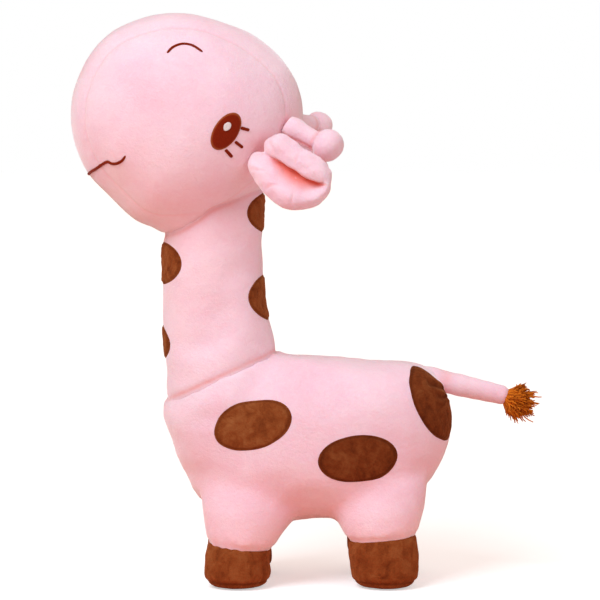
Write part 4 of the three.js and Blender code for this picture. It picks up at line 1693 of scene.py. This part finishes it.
@dataclass
class Ear:
    """An ear: a padded leaf folded along its middle, so that two plump lobes lie beside a crease.

    The leaf is flat in its own plane, where its places are told by how far along its middle line
    they lie and how far above it. The plane then bends along the line and on both sides of it.
    """

    wardrobe: Wardrobe
    side: Side
    length: float = 0.052
    bow: float = 0.22
    middle: tuple[float, float] = (0.024, -0.006)
    outline: Shares = (
        0.0270, 0.0273, 0.0258, 0.0233, 0.0216, 0.0211, 0.0220, 0.0298, 0.0297, 0.0283,
        0.0291, 0.0288, 0.0254, 0.0235, 0.0228, 0.0220, 0.0218, 0.0220, 0.0232, 0.0253,
    )
    notch: float = 0.0038
    notch_turn: float = math.radians(166)
    lower_bend: float = 0.045
    upper_bend: float = 0.030
    crest: float = 0.0095
    floor: float = 0.0030
    back: float = 0.0045
    rim: float = 0.0078
    roll: float = 0.0062
    dish: float = 0.0105
    overhang: float = 0.0022
    crease_end: float = 0.047
    tucks: Shares = (104, 143, 203, 238, 287)
    around: int = 168
    rings: int = 40

    def spine(self, along: Array) -> tuple[Array, Array, Array, Array]:
        """The bowed middle line, and the directions along it, out of it and up across it.

        Args:
            along: places along the line, as lengths.

        Returns:
            The line's points and the three directions, each of shape (..., 3).
        """
        centre, normal = ear_seat(self.side)
        sign = self.side.value
        aim = unit(np.array([0.85, sign * 0.2, -0.44]))
        hinge = unit(np.cross(aim, normal))
        tip = centre + aim * self.length
        bow = (centre + tip) / 2 + normal * self.bow * self.length
        t = along[..., None] / self.length
        line = (1 - t) ** 2 * centre + 2 * t * (1 - t) * bow + t**2 * tip
        run = unit(2 * (1 - t) * (bow - centre) + 2 * t * (tip - bow))
        out = unit(np.cross(hinge, run))
        out = out * np.where(out[..., 1:2] * sign < 0, -1.0, 1.0)
        up = unit(np.cross(out, run))
        return line, run, out, up * np.where(up[..., 2:3] < 0, -1.0, 1.0)

    def bent(self, along: Array, above: Array, height: Array) -> Array:
        """Places of the leaf's plane, at a height out of it, on the bent surface.

        Args:
            along: place along the middle line.
            above: place above it.
            height: height out of the plane.

        Returns:
            Points of shape (..., 3).
        """
        line, _, out, up = self.spine(along)
        bend = np.where(above > 0, self.upper_bend, self.lower_bend)
        lean = above / bend
        sideways = bend * np.sin(lean) - height * np.sin(lean)
        outwards = bend * (1.0 - np.cos(lean)) + height * np.cos(lean)
        return line + up * sideways[..., None] + out * outwards[..., None]

    def front_height(self, along: Array, above: Array, edge: Array) -> tuple[Array, Array, Array]:
        """Height of the front over the leaf's plane.

        A round rim rises from the outline to a level top. The crease cuts into it: a quarter round
        on its upper side, where the upper lobe rolls over it, and a wide dish on its lower side.

        Args:
            along: place along the middle line.
            above: place above it.
            edge: distance to the outline.

        Returns:
            The height, how much the crease counts there, and the place above the crease.
        """
        over = above + 0.0006 - 0.0008 * np.sin(along / 0.0065)
        strength = smooth_step((along + 0.006) / 0.006) * smooth_step((self.crease_end - along) / 0.009)
        upper = quarter_round(over, self.roll)
        lower = 1.0 - np.exp(-np.abs(over / self.dish) ** 1.6)
        cut = np.where(over > 0, upper, lower)
        top = self.crest * quarter_round(edge, self.rim)
        return self.floor + (top - self.floor) * (1.0 - strength * (1.0 - cut)), strength, over

    def leaf(self) -> tuple[Array, Array, Array, Array]:
        """The flat leaf as rings, each the outline drawn in towards the middle.

        Returns:
            The outline's angles, and for each point its place along the middle line, its place
            above that, and its distance to the outline.
        """
        angle = even_angles(self.around)[None, :]
        share = np.sin(np.linspace(0.02, 1.0, self.rings) * math.pi / 2)[:, None]
        reach = share_around(self.outline, angle) - self.notch * bell(angle - self.notch_turn, 0.14)
        rim = np.stack([reach[0] * np.cos(angle[0]), reach[0] * np.sin(angle[0])], axis=-1)
        flat = share[..., None] * rim[None]
        edge = np.full(flat.shape[:2], np.inf)
        for step in range(self.around):
            edge = np.minimum(edge, np.linalg.norm(flat - rim[step], axis=-1))
        edge = np.where(share >= 1.0, 0.0, edge)
        return angle, flat[..., 0] + self.middle[0], flat[..., 1] + self.middle[1], edge

    def skin(self) -> Pair:
        """Rings over the front and back again, with short tucks across the rim, and the shade painted in the
        crease and the tucks.

        Returns:
            The rings' points, and a painted shade from 0 to 1 for each.
        """
        angle, along, above, edge = self.leaf()
        height, strength, over = self.front_height(along, above, edge)
        lean_over = self.overhang * strength * bell(over - 0.003, 0.0028) * quarter_round(edge, self.rim)
        tuck = sum(bell(angle_from(angle, math.radians(turn)), 0.055) for turn in self.tucks)
        tuck = tuck * bell(edge - 0.004, 0.0045)
        front = self.bent(along, above - lean_over, height - 0.0008 * tuck)
        back = self.bent(along, above, -self.back * quarter_round(edge, 0.009))
        # painted shade: coral in the crease, widest in its middle and starting a little way out from the root,
        # and faint in the tucks
        arch = np.sin(math.pi * np.clip(along / self.crease_end, 0.0, 1.0)) ** 1.5
        spread = np.where(over > 0, 0.0022, 0.0016 + 0.0088 * arch)
        shade = strength * np.exp(-((np.abs(over) / spread) ** 2.6))
        shade = np.maximum(shade * smooth_step((along - 0.001) / 0.011), 0.15 * tuck)
        shade = np.concatenate([shade, np.zeros_like(back[:-1, :, 0])])
        return np.concatenate([front, back[-2::-1]]), shade

    def build(self) -> None:
        """Builds and dresses the ear."""
        points, shade = self.skin()
        body = f"ear_{self.side.word}"
        piece = make_piece(body, *closed_skin(points))
        # painted shade on the ear, with fixed values at its two poles
        give_value(piece, "crease", np.append(shade.ravel(), [0.5, 0.0]))
        modified(piece, "SUBSURF", levels=1, render_levels=1)
        shifted(piece, lambda places: soft_waves(places, (0.0004, 0.017, 51), (0.0001, 0.007, 52)))
        centre, aim = ear_seat(self.side)[0], self.spine(np.array([self.length / 4]))[1][0]
        root = (centre - aim * 0.002, centre + aim * 0.010)
        hand_over(piece, self.wardrobe.plush, body, body=body, fill=0.6, root=root)


@dataclass
class Horn:
    """A soft horn: a stalk with a lengthways crease, and a gathered knob."""

    wardrobe: Wardrobe
    side: Side
    droop: float
    splay: float
    knob_radius: float
    radius: float = 0.0062
    length: float = 0.0262
    tuck: float = 0.007
    sink: float = 0.0036
    knob_share: float = 0.93

    def frame(self) -> tuple[Array, Array, Array, Array]:
        """The root's centre, the horn's direction, and two directions across it.

        Returns:
            Four vectors.
        """
        level, out = math.cos(self.splay), self.side.value * math.sin(self.splay)
        aim = np.array([math.cos(self.droop) * level, out, -math.sin(self.droop) * level])
        across = unit(np.cross(aim, UP))
        return horn_seat(self.side)[0], aim, across, np.cross(across, aim)

    def stalk(self) -> Piece:
        """Rings of a tube from inside the head to inside the knob, with one side drawn in.

        Returns:
            The stalk's piece, not yet dressed.
        """
        seat, direction, across, up = self.frame()
        root = seat - self.sink * UP
        aim = unit(seat + direction * self.length - root - self.sink / 2 * UP)
        along = np.linspace(-self.tuck, self.length - self.knob_radius * 0.6, 48)[:, None]
        angle = even_angles(48)[None, :]
        crease = bell(angle_from(angle, -0.85), 0.2)
        flare = 1.0 + 0.2 * bell(along + 0.002, 0.006)
        radius = self.radius * flare * (1.1 - 0.2 * crease) * (1.0 + 0.012 * np.cos(along / 0.0035))
        middle = root + along[..., None] * aim
        points = rings_round(middle, radius, angle, across, up)
        piece = make_piece(f"horn_stalk_{self.side.word}", *closed_skin(points, middle[0, 0], middle[-1, 0]))
        # painted shade along the lengthways crease and where the stalk goes into the knob
        near_knob = bell(along - (self.length - self.knob_radius), 0.0016)
        shade = np.clip(0.3 * crease + 0.3 * near_knob, 0.0, 0.8)
        give_value(piece, "crease", np.append(shade.ravel(), [0.0, 0.0]))
        return piece

    def knob(self) -> Piece:
        """A ball with gathers that run out from where it is sewn to the stalk.

        Returns:
            The knob's piece, not yet dressed.
        """
        root, aim, across, up = self.frame()
        centre = root + aim * self.length
        polar = (np.linspace(0.0, 0.5, 50)[1:-1] * TURN)[:, None]
        angle = even_angles(72)[None, :]
        gather = 1.0 - 0.07 * bell(polar, 0.75) * (0.5 + 0.5 * np.cos(11 * angle + 0.8 * np.sin(3 * angle)))
        radius = self.knob_radius * gather
        middle = -np.cos(polar)[..., None] * aim * self.knob_share
        local = rings_round(middle, np.sin(polar), angle, across, up)
        points = centre + radius[..., None] * local
        points = points + 0.00012 * waves(points, 0.014, 61)[..., None] * local
        ends = [centre - aim * self.knob_radius * 0.9, centre + aim * self.knob_radius * self.knob_share]
        piece = make_piece(f"horn_knob_{self.side.word}", *closed_skin(points, *ends))
        # painted shade on the knob's side towards the stalk
        shade = 0.5 * bell(polar, 0.5) * np.ones_like(angle)
        give_value(piece, "crease", np.append(shade.ravel(), [0.5, 0.0]))
        return piece

    def build(self) -> None:
        """Builds and dresses the stalk and the knob."""
        centre, aim, _, _ = self.frame()
        body = f"horn_{self.side.word}"
        root = (centre - aim * 0.002, centre + aim * 0.008)
        stalk, knob = self.stalk(), self.knob()
        hand_over(stalk, self.wardrobe.plush, f"horn_stalk_{self.side.word}", body=body, fill=0.8, root=root)
        hand_over(knob, self.wardrobe.plush, f"horn_knob_{self.side.word}", body=body, fill=0.8)


@dataclass
class Tail:
    """The tail, a thin stuffed tube, and its tuft of yarn."""

    wardrobe: Wardrobe
    radius: float = 0.0082
    end_radius: float = 0.0064
    length: float = 0.033
    droop: float = math.radians(13)
    drop: float = 0.0017
    tuft_length: float = 0.0205
    tuft_droop: float = math.radians(23)
    tuft_spread: float = math.radians(74)
    strands: int = 840
    strand_steps: int = 11
    strand_sides: int = 6

    def ends(self) -> tuple[Array, Array, Array]:
        """Centres of the tail's two round ends, and the direction from one to the other.

        Returns:
            The root's centre, the end's centre and the direction.
        """
        root, _ = seat_on(TORSO, TAIL_ANGLE, 0.0, self.radius, sink=0.0012)
        aim = np.array([math.cos(self.droop), 0.0, -math.sin(self.droop)])
        return root, root + aim * self.length, aim

    def tube(self) -> Piece:
        """Rings round a straight line, from deep inside the rump to inside the tuft.

        Returns:
            The tube's piece, not yet dressed.
        """
        root, end, aim = self.ends()
        t = np.linspace(-0.95, 1.12, 88)[:, None]
        sunk = np.minimum(t + 0.55, 0.0) * self.length
        spine = root + t * (end - root) - UP * (self.drop + 20.0 * sunk**2)
        angle = even_angles(48)[None, :]
        radius = self.radius + (self.end_radius - self.radius) * np.clip(t, 0.0, 1.0)
        flare = 1.0 - 0.06 * bell(t + 0.2, 0.16)
        tip = np.sqrt(np.maximum(1.0 - np.clip((t - 0.96) / 0.17, 0.0, 1.0) ** 2, 0.02))
        folds = 1.0 + 0.012 * np.sin(t * 21.0 + 0.8 * np.cos(angle)) + 0.03 * np.cos(2 * angle + 3 * t)
        radius = radius * flare * tip * folds
        points = rings_round(spine[:, None, :], radius, angle, ACROSS, np.cross(aim, ACROSS))
        piece = make_piece("tail", *closed_skin(points, spine[0], spine[-1]))
        # painted shade round the tube near where it goes into the rump
        shade = 0.25 * bell(t + 0.28, 0.14) * np.ones_like(angle)
        give_value(piece, "crease", np.append(shade.ravel(), [0.0, 0.0]))
        return piece

    def strand_lines(self, rng: np.random.Generator) -> Array:
        """Middle lines of the yarn strands, of shape (strands, steps, 3).

        A strand starts on the tail's round end, runs out along its own direction in a cone round
        the tuft's middle, and bends back a little towards its tip.

        Args:
            rng: the generator that the strands are drawn from.

        Returns:
            The lines' points.
        """
        end = self.ends()[1] - self.drop * UP
        middle = np.array([math.cos(self.tuft_droop), 0.0, -math.sin(self.tuft_droop)])
        count = self.strands
        lean = np.sqrt(rng.uniform(0.0, 1.0, count))
        turn = rng.uniform(0.0, TURN, count)
        start_turn = (0.9 * self.tuft_spread * lean)[:, None]
        outward = np.cos(turn)[:, None] * ACROSS + np.sin(turn)[:, None] * np.cross(middle, ACROSS)
        start = end + unit(middle * np.cos(start_turn) + outward * np.sin(start_turn)) * self.end_radius * 0.8
        longest = self.tuft_length - self.end_radius * 0.4
        reach = (longest * rng.uniform(0.6, 0.98, count) * (1.0 - 0.5 * lean**2))[:, None]
        way = unit(middle + outward * (0.95 * lean)[:, None])
        bend = rng.normal(0.0, 0.2, (count, 3)) - outward * (0.10 * lean)[:, None]
        s = np.linspace(0.0, 1.0, self.strand_steps)
        lines = start[:, None, :] + way[:, None, :] * (reach * s)[..., None]
        lines = lines + bend[:, None, :] * (reach * s**2)[..., None]
        stray = np.stack([waves(lines, 0.006, seed) for seed in (71, 72, 73)], axis=-1)
        return lines + 0.0004 * stray * s[None, :, None]

    def tuft(self) -> Piece:
        """Yarn strands that spread from the tail's end, each a thin tube that tapers to its tip.

        Returns:
            The tuft's piece, not yet dressed.
        """
        rng = np.random.default_rng(7)
        lines = self.strand_lines(rng)
        run = unit(np.gradient(lines, axis=1))
        first = unit(np.cross(run, np.array([0.3, 0.2, 0.9])))
        second = np.cross(run, first)
        s = np.linspace(0.0, 1.0, self.strand_steps)
        thick = rng.uniform(0.0005, 0.0008, self.strands)[:, None] * (1.0 - 0.5 * s**3)[None, :]
        angle = even_angles(self.strand_sides)
        middle, side, up = (part[:, :, None, :] for part in (lines, first, second))
        rings = rings_round(middle, thick[:, :, None], angle, side, up)
        tubes = rings.reshape(self.strands, -1, 3)
        verts = np.concatenate([tubes, lines[:, :1], lines[:, -1:]], axis=1).reshape(-1, 3)
        per = self.strand_steps * self.strand_sides + 2
        starts = (np.arange(self.strands) * per)[:, None, None]
        _, groups = closed_skin(rings[0], lines[0, 0], lines[0, -1])
        faces = [(group[None, :, :] + starts).reshape(-1, group.shape[1]) for group in groups]
        piece = make_piece("tail_yarn", verts, faces)
        give_value(piece, "strand", np.repeat(rng.uniform(0.0, 1.0, self.strands), per))
        return piece

    def build(self) -> None:
        """Builds and dresses the tail and its tuft."""
        centre, _, aim = self.ends()
        root = (centre - aim * 0.006, centre + aim * 0.010)
        tube, tuft = self.tube(), self.tuft()
        hand_over(tube, self.wardrobe.plush, "tail_tube", body="tail", fill=0.7, root=root)
        hand_over(tuft, self.wardrobe.yarn, "tail_tuft", body="tuft")


# Pieces sewn on a surface


def grid_normals(grid: Array, inside: Place) -> Array:
    """Normals of a grid, away from a place inside the form that it lies on.

    The rim takes the normals next to it, since a disc's grid is flat in its four corners.

    Args:
        grid: points of shape (rows, columns, 3).
        inside: the place inside the form.

    Returns:
        Vectors of length one.
    """
    normals = unit(np.cross(np.gradient(grid, axis=0), np.gradient(grid, axis=1)))
    normals = np.pad(normals[1:-1, 1:-1], ((1, 1), (1, 1), (0, 0)), mode="edge")
    return normals * (1.0 if ((grid - inside) * normals).sum() > 0 else -1.0)


def laid_on(grid: Array, lift: float, target: Piece, inside: Place, even: int = 0) -> Pair:
    """Lays a grid of points on a piece's surface.

    The grid is lifted along its own normals, and each point then goes to the nearest place of the
    surface.

    Args:
        grid: points near the surface, of shape (rows, columns, 3).
        lift: how far the grid is lifted first.
        target: the piece that it is laid on.
        inside: a place inside the stuffed form, which the normals point away from.
        even: rounds in which each point's way takes on the mean of its neighbours' ways.

    Returns:
        The points on the surface, and the normals of the laid grid.
    """
    raised = grid + grid_normals(grid, inside) * lift
    scrap = make_piece("scrap", raised.reshape(-1, 3), [grid_quads(*grid.shape[:2])[1]])
    modified(scrap, "SHRINKWRAP", target=target, wrap_method="NEAREST_SURFACEPOINT")
    shift = points_of(scrap).reshape(grid.shape) - raised
    for _ in range(even):
        wide = np.pad(shift, ((1, 1), (1, 1), (0, 0)), mode="edge")
        sides = wide[:-2, 1:-1] + wide[2:, 1:-1] + wide[1:-1, :-2] + wide[1:-1, 2:]
        shift = (sides + 2.0 * shift) / 6.0
    mesh = scrap.data
    bpy.data.objects.remove(scrap)
    bpy.data.meshes.remove(mesh)
    return raised + shift, grid_normals(raised + shift, inside)


def thin_piece(name: str, top: Array, bottom: Array, **shades: Array) -> Piece:
    """A piece between two grids, with values that its top and its underside share.

    Args:
        name: its name.
        top: the top's points.
        bottom: the underside's points.
        shades: values for each point of a grid.

    Returns:
        The piece.
    """
    piece = make_piece(name, *closed_sheet(top, bottom))
    for shade, values in shades.items():
        give_value(piece, shade, np.tile(values.ravel(), 2))
    return piece


@dataclass
class Patch:
    """An oval piece that is sewn or stitched on a surface."""

    name: str
    surface: Callable[[Array, Array], Array]
    middle: tuple[float, float]
    semi_long: float
    semi_short: float
    tilt: float
    target: Piece
    inside: Place
    count: int = 49
    height: float = 0.0011
    rim_at: float = 0.93
    rim_depth: float = 0.0005
    rim_width: float = 0.0007
    thickness: float = 0.0011
    grain: float = 0.00012
    wave: float = 0.0055
    lift: float = 0.004
    folds: tuple[tuple[float, float, float, float], ...] = ()
    fold_depth: float = 0.0008
    fold_ridge: float = 0.0021
    fold_width: float = 0.0013
    ridge_away: float = 0.0032
    ridge_width: float = 0.002

    def creases(self, u: Array, v: Array) -> Pair:
        """The patch's folds and the ridges beside them: bell curves of the distance to short lines.

        Args:
            u: place along the oval's long axis, as a length.
            v: place along its short axis.

        Returns:
            How deep a fold and how high a ridge is at each place, from 0 to 1.
        """
        fold, ridge = np.zeros_like(u), np.zeros_like(u)
        semi = np.array([self.semi_long, self.semi_short])
        for x0, y0, x1, y1 in self.folds:
            start = np.array([x0, y0]) * semi
            way = np.array([x1 - x0, y1 - y0]) * semi
            local = np.stack([u, v], axis=-1) - start
            share = np.clip(local @ way / (way @ way), 0.0, 1.0)
            gap = np.linalg.norm(local - share[..., None] * way, axis=-1)
            deep = 0.35 + 0.65 * share
            fold = np.maximum(fold, deep * bell(gap, self.fold_width))
            ridge = np.maximum(ridge, deep * bell(gap - self.ridge_away, self.ridge_width))
        return fold, ridge

    def build(self, finish: Finish, seed: int) -> Piece:
        """Builds and dresses the patch.

        Its grid is a square drawn into a round disc, with squares for rings near the middle. Its
        height over the surface is a low dome with a round edge, less a narrow groove where the
        stitches run, plus fine waves and the relief of its folds.

        Args:
            finish: its finish.
            seed: the seed of its fine waves.

        Returns:
            The patch's piece.
        """
        steps = np.linspace(-1, 1, self.count)
        x, y = np.meshgrid(steps, steps, indexing="ij")
        x, y = x * np.sqrt(1 - y**2 / 2), y * np.sqrt(1 - x**2 / 2)
        r = np.hypot(x, y)
        u, v = x * self.semi_long, y * self.semi_short
        a = self.middle[0] + u * math.cos(self.tilt) - v * math.sin(self.tilt)
        b = self.middle[1] + u * math.sin(self.tilt) + v * math.cos(self.tilt)
        laid, normals = laid_on(self.surface(a, b), self.lift, self.target, self.inside, 3)
        dome = self.height * np.sqrt(np.maximum(1.0 - r**8, 0.0))
        stitched = bell((r - self.rim_at) * self.semi_short, self.rim_width)
        texture = self.grain * waves(laid, self.wave, seed) * np.clip((1 - r) * 8, 0.0, 1.0)
        fold, ridge = self.creases(u, v)
        ridge = ridge * np.sqrt(np.maximum(1.0 - r**4, 0.0))
        relief = self.fold_ridge * ridge - self.fold_depth * fold * (1.0 - r**12)
        top = laid + normals * (dome - self.rim_depth * stitched + texture + relief)[..., None]
        # painted shade in the stitched groove near the rim and in the folds
        shade = np.maximum(0.55 * stitched, 0.8 * fold)
        rim = np.clip((r - 0.86) / 0.08, 0.0, 1.0)
        bottom = laid - normals * self.thickness
        piece = thin_piece(self.name, top, bottom, crease=shade, rim=rim)
        return hand_over(piece, finish, self.name)


@dataclass
class Stitches:
    """A line of satin stitch on a surface."""

    name: str
    surface: Callable[[Array, Array], Array]
    places: list[tuple[float, float]]
    target: Piece
    half_width: float = 0.00115
    height: float = 0.0008
    count: int = 72
    across: int = 9

    def build(self, finish: Finish) -> None:
        """Builds and dresses the line: a half-round band along a smooth path, tapered at its ends.

        Args:
            finish: its finish.
        """
        path = self.surface(*smooth_path(self.places, self.count).T)
        run = unit(np.gradient(path, axis=0))
        side = unit(np.cross(run, path - HEAD.centre))
        s = np.linspace(-1.0, 1.0, self.count)[:, None]
        w = np.linspace(-1.0, 1.0, self.across)[None, :]
        taper = np.sqrt(np.clip(1.0 - np.abs(s) ** 10, 0.0, 1.0)) * 0.95 + 0.05
        grid = path[:, None, :] + side[:, None, :] * (w * taper * self.half_width)[..., None]
        laid, normals = laid_on(grid, 0.002, self.target, HEAD.centre)
        round_top = self.height * np.sqrt(np.maximum(1.0 - w**2, 0.0)) * taper
        ripple = 1.0 + 0.12 * np.cos(s * self.count * 1.1)
        top = laid + normals * (round_top * ripple + 0.0001)[..., None]
        rim = 0.35 * np.abs(w) ** 3 * np.ones_like(s)
        hand_over(thin_piece(self.name, top, laid - normals * 0.0006, rim=rim), finish, self.name)


@dataclass
class Spots:
    """The ovals of brown plush on the flanks, the rump and the neck."""

    wardrobe: Wardrobe
    body: Piece
    neck: Piece

    def flank_spots(self) -> None:
        """The three spots of each side."""
        rump_folds = ((-0.48, 0.08, -0.1, 0.85), (-0.06, 0.25, 0.04, 0.95))
        ovals = (
            # the belly and rump spots take the darker copy of the brown, as painted shade
            ("shoulder", self.wardrobe.brown, -0.387, 0.266, 0.0274, 0.0164, 17, ()),
            ("belly", self.wardrobe.shaded_brown, 0.342, -0.13, 0.0274, 0.0164, 5, ()),
            ("rump", self.wardrobe.shaded_brown, 0.8915, 0.5, 0.0297, 0.0143, -65.1, rump_folds),
        )
        for side in Side:
            surface = partial(TORSO.wrapped, sign=side.value)
            for seed, (name, finish, x, z, long, short, tilt, folds) in enumerate(ovals):
                spot = f"spot_{name}_{side.word}"
                middle = (x * TORSO.half_length, z * TORSO.half_height)
                oval = (long, short, math.radians(tilt))
                patch = Patch(spot, surface, middle, *oval, self.body, TORSO.centre, folds=folds)
                patch.build(finish, 80 + seed)

    def neck_spots(self) -> None:
        """The spots in front of the neck and behind it."""
        ovals = (
            ("throat_upper", 0.705, 192, 0.015, 0.027),
            ("throat_lower", 0.105, 166, 0.0128, 0.030),
            ("nape_upper", 1.08, -7, 0.0142, 0.0256),
            ("nape_lower", 0.448, -8, 0.0156, 0.026),
        )
        for seed, (name, share, degrees, high, wide) in enumerate(ovals):
            along = (NECK.tuck + share * NECK.length) / NECK.form.height
            surface = partial(NECK.form.unrolled, along=along, angle=math.radians(degrees))
            inside = tuple(NECK.form.axis_at(along))
            patch = Patch(f"spot_{name}", surface, (0.0, 0.0), wide, high, 0.0, self.neck, inside)
            patch.build(self.wardrobe.brown, 90 + seed)

    def build(self) -> None:
        """Builds every spot."""
        self.flank_spots()
        self.neck_spots()


@dataclass
class Face:
    """The stitched eyes, lashes, nostrils and mouth."""

    wardrobe: Wardrobe
    head: Piece
    eye_x: float = 0.353
    eye_z: float = -0.071
    eye_long: float = 0.0142
    eye_short: float = 0.0081
    eye_tilt: float = math.radians(56)
    lashes: tuple[Shares, ...] = (
        (0.7, 0.15, 1.1, 0.04), (0.41, -0.5, 0.78, -0.79), (-0.04, -0.88, 0.27, -1.24),
    )
    nostrils: tuple[tuple[float, float], ...] = (
        (-0.154, 0.608), (-0.103, 0.662), (-0.022, 0.691), (0.068, 0.672), (0.146, 0.616),
    )
    half_mouth: tuple[tuple[float, float], ...] = (
        (208.9, 54.9), (210.8, 51), (210.7, 46.4), (208.9, 42.6), (206.6, 40.4),
        (206.5, 34.8), (206.9, 26), (207.2, 13),
    )

    def eye(self, side: Side) -> None:
        """One eye with its highlight and lashes.

        Args:
            side: the side that it is on.
        """
        surface = partial(HEAD.flank, sign=side.value)
        long, tilt = self.eye_long, self.eye_tilt
        a, b = self.eye_x * HEAD.half_length, self.eye_z * HEAD.half_height
        iris = Patch(
            f"eye_{side.word}", surface, (a, b), long, self.eye_short, tilt, self.head, HEAD.centre,
            rim_at=0.9, rim_depth=0.00015, grain=0.00004, wave=0.003, lift=0.002,
        ).build(self.wardrobe.thread, 95)
        glint = (a + 0.04 * long, b + 0.23 * long)
        Patch(
            f"eye_highlight_{side.word}", surface, glint, 0.0033, 0.0023, tilt, iris, HEAD.centre,
            count=25, height=0.0006, rim_depth=0.0, grain=0.0, lift=0.003,
        ).build(self.wardrobe.pale, 96)
        for number, (x0, y0, x1, y1) in enumerate(self.lashes, 1):
            steps = (0.0, 0.5, 1.0)
            places = [(a + long * (x0 + (x1 - x0) * t), b + long * (y0 + (y1 - y0) * t)) for t in steps]
            lash = Stitches(f"lash_{side.word}_{number}", surface, places, self.head, count=24)
            lash.build(self.wardrobe.thread)

    def nostril(self, side: Side) -> None:
        """One nostril, a short arc.

        Args:
            side: the side that it is on.
        """
        places = [(x * HEAD.half_length, z * HEAD.half_height) for x, z in self.nostrils]
        surface = partial(HEAD.flank, sign=side.value)
        arc = Stitches(f"nostril_{side.word}", surface, places, self.head, half_width=0.00095)
        arc.build(self.wardrobe.thread)

    def mouth(self) -> None:
        """The mouth, a long line round the muzzle."""
        other_half = [(angle, -tilt) for angle, tilt in reversed(self.half_mouth)]
        turns = [*self.half_mouth, (207.4, 0), *other_half]
        places = [(math.radians(angle), math.radians(tilt)) for angle, tilt in turns]
        Stitches("mouth", HEAD.at, places, self.head, count=240).build(self.wardrobe.thread)

    def build(self) -> None:
        """Builds the face."""
        for side in Side:
            self.eye(side)
            self.nostril(side)
        self.mouth()


@dataclass
class Studio:
    """Camera, floor and light."""

    distance: float = 1.9
    elevation: float = math.radians(4)
    aim: Place = (-0.0056, 0.0, 0.196)
    sensor: float = 36.0
    focal_share: float = 2729.85 / 600.0
    floor_reach: float = 12.0
    toy_middle: Place = (0.0, 0.0, 0.2)

    def placed(self, thing: Piece, place: Place, aim: Place) -> None:
        """Puts a camera or a lamp at a place, facing another one."""
        thing.location = place
        thing.rotation_euler = (Vector(aim) - Vector(place)).to_track_quat("-Z", "Y").to_euler()

    def camera(self) -> None:
        """The camera at the photograph's angle."""
        data = bpy.data.cameras.new("camera")
        lens = self.focal_share * self.sensor
        set_all(data, lens=lens, sensor_width=self.sensor, clip_start=0.05, clip_end=60.0)
        camera = linked("camera", data)
        back = Vector((0.0, -math.cos(self.elevation), math.sin(self.elevation)))
        self.placed(camera, Vector(self.aim) + back * self.distance, self.aim)
        bpy.context.scene.camera = camera

    def lamp(self, name: str, kind: str, place: Place, aim: Place, **settings: object) -> None:
        """A soft light at a place, facing another one.

        Args:
            name: its name.
            kind: AREA or SPOT.
            place: where it is.
            aim: what it faces.
            settings: its size, power and colour.
        """
        data = bpy.data.lights.new(name, kind)
        set_all(data, **settings)
        self.placed(linked(name, data), place, aim)

    def floor(self) -> None:
        """A pale floor that keeps the toy's shadow and looks white to the camera.

        To the camera it glows a little, by more the further off it is. To all other rays it is warm
        near the toy and duller far from it, so that it throws a warm light up on the belly.
        """
        corners = np.array([(-1, -1, 0), (1, -1, 0), (1, 1, 0), (-1, 1, 0)]) * self.floor_reach
        floor = make_piece("floor", corners - 0.0003 * UP, [np.array([[0, 1, 2, 3]])])
        dye = Dye("pale_floor")
        rays = dye.node("ShaderNodeLightPath", {}).outputs
        either = {0: rays["Is Camera Ray"], 1: rays["Is Glossy Ray"]}
        seen = dye.node("ShaderNodeMath", either, operation="MAXIMUM").outputs[0]
        away = dye.node("ShaderNodeVectorMath", {0: dye.place}, operation="LENGTH").outputs["Value"]
        far = dye.spread(away, from_min=0.12, from_max=0.42)
        warm = dye.mix(far, (0.95, 0.45, 0.3, 1.0), (0.62, 0.5, 0.48, 1.0))
        glow = dye.spread(away, from_min=0.4, from_max=2.5, to_min=0.48, to_max=0.7)
        gain = dye.node("ShaderNodeMath", {0: seen, 1: glow}, operation="MULTIPLY").outputs[0]
        inputs = {
            "Roughness": 0.9,
            "Specular IOR Level": 0.1,
            "Base Color": dye.mix(seen, warm, (0.86, 0.85, 0.85, 1.0)),
            "Emission Color": (1.0, 1.0, 1.0, 1.0),
            "Emission Strength": gain,
        }
        dye.feed(dye.shader, inputs)
        floor.data.materials.append(dye.material)

    def world(self) -> None:
        """Soft warm light from all round, and white where the camera sees past the floor."""
        world = bpy.data.worlds.new("studio")
        bpy.context.scene.world = world
        world.use_nodes = True
        wiring = Wiring(world.node_tree)
        seen = wiring.node("ShaderNodeLightPath", {}).outputs["Is Camera Ray"]
        tint = wiring.mix(seen, (1.0, 0.77, 0.64, 1.0), (1.0, 1.0, 1.0, 1.0))
        strength = wiring.spread(seen, to_min=0.55, to_max=1.0)
        wiring.feed(wiring.tree.nodes["Background"], {"Color": tint, "Strength": strength})

    def build(self) -> None:
        """Sets up the whole studio: cool key and fill, and a warm glow on the head's underside."""
        self.camera()
        self.floor()
        self.world()
        middle = self.toy_middle
        self.lamp("key", "AREA", (-1.15, -1.5, 2.15), middle, size=1.4, energy=54.0, color=(0.76, 0.91, 1.0))
        self.lamp("fill", "AREA", (1.8, -1.2, 1.0), middle, size=1.4, energy=10.0, color=(0.7, 0.88, 1.0))
        cone = {"spot_size": math.radians(28), "spot_blend": 1.0, "shadow_soft_size": 0.08}
        muzzle = (-0.12, -0.03, 0.255)
        self.lamp("glow", "SPOT", (-0.36, -0.42, 0.03), muzzle, energy=2.0, color=(1.0, 0.32, 0.08), **cone)
        bpy.context.scene.view_settings.view_transform = "Standard"
        log.info("studio: camera, floor and lamps")


def main() -> None:
    """Builds the giraffe piece by piece and reports each one."""
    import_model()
    Studio().build()
    wardrobe = Wardrobe()
    body = Torso(wardrobe).build()
    for leg in HIPS.legs():
        Hoof(wardrobe, *leg).build()
    neck = NeckCover(wardrobe).build()
    head = Head(wardrobe).build()
    for side in Side:
        Ear(wardrobe, side).build()
    near = Horn(wardrobe, Side.LEFT, droop=math.radians(32), splay=math.radians(14), knob_radius=0.0113)
    far = Horn(wardrobe, Side.RIGHT, math.radians(3), math.radians(53), 0.0102, sink=-0.0008, tuck=0.013)
    for horn in (near, far):
        horn.build()
    Tail(wardrobe).build()
    Spots(wardrobe, body, neck).build()
    Face(wardrobe, head).build()


if __name__ == "__main__":
    main()
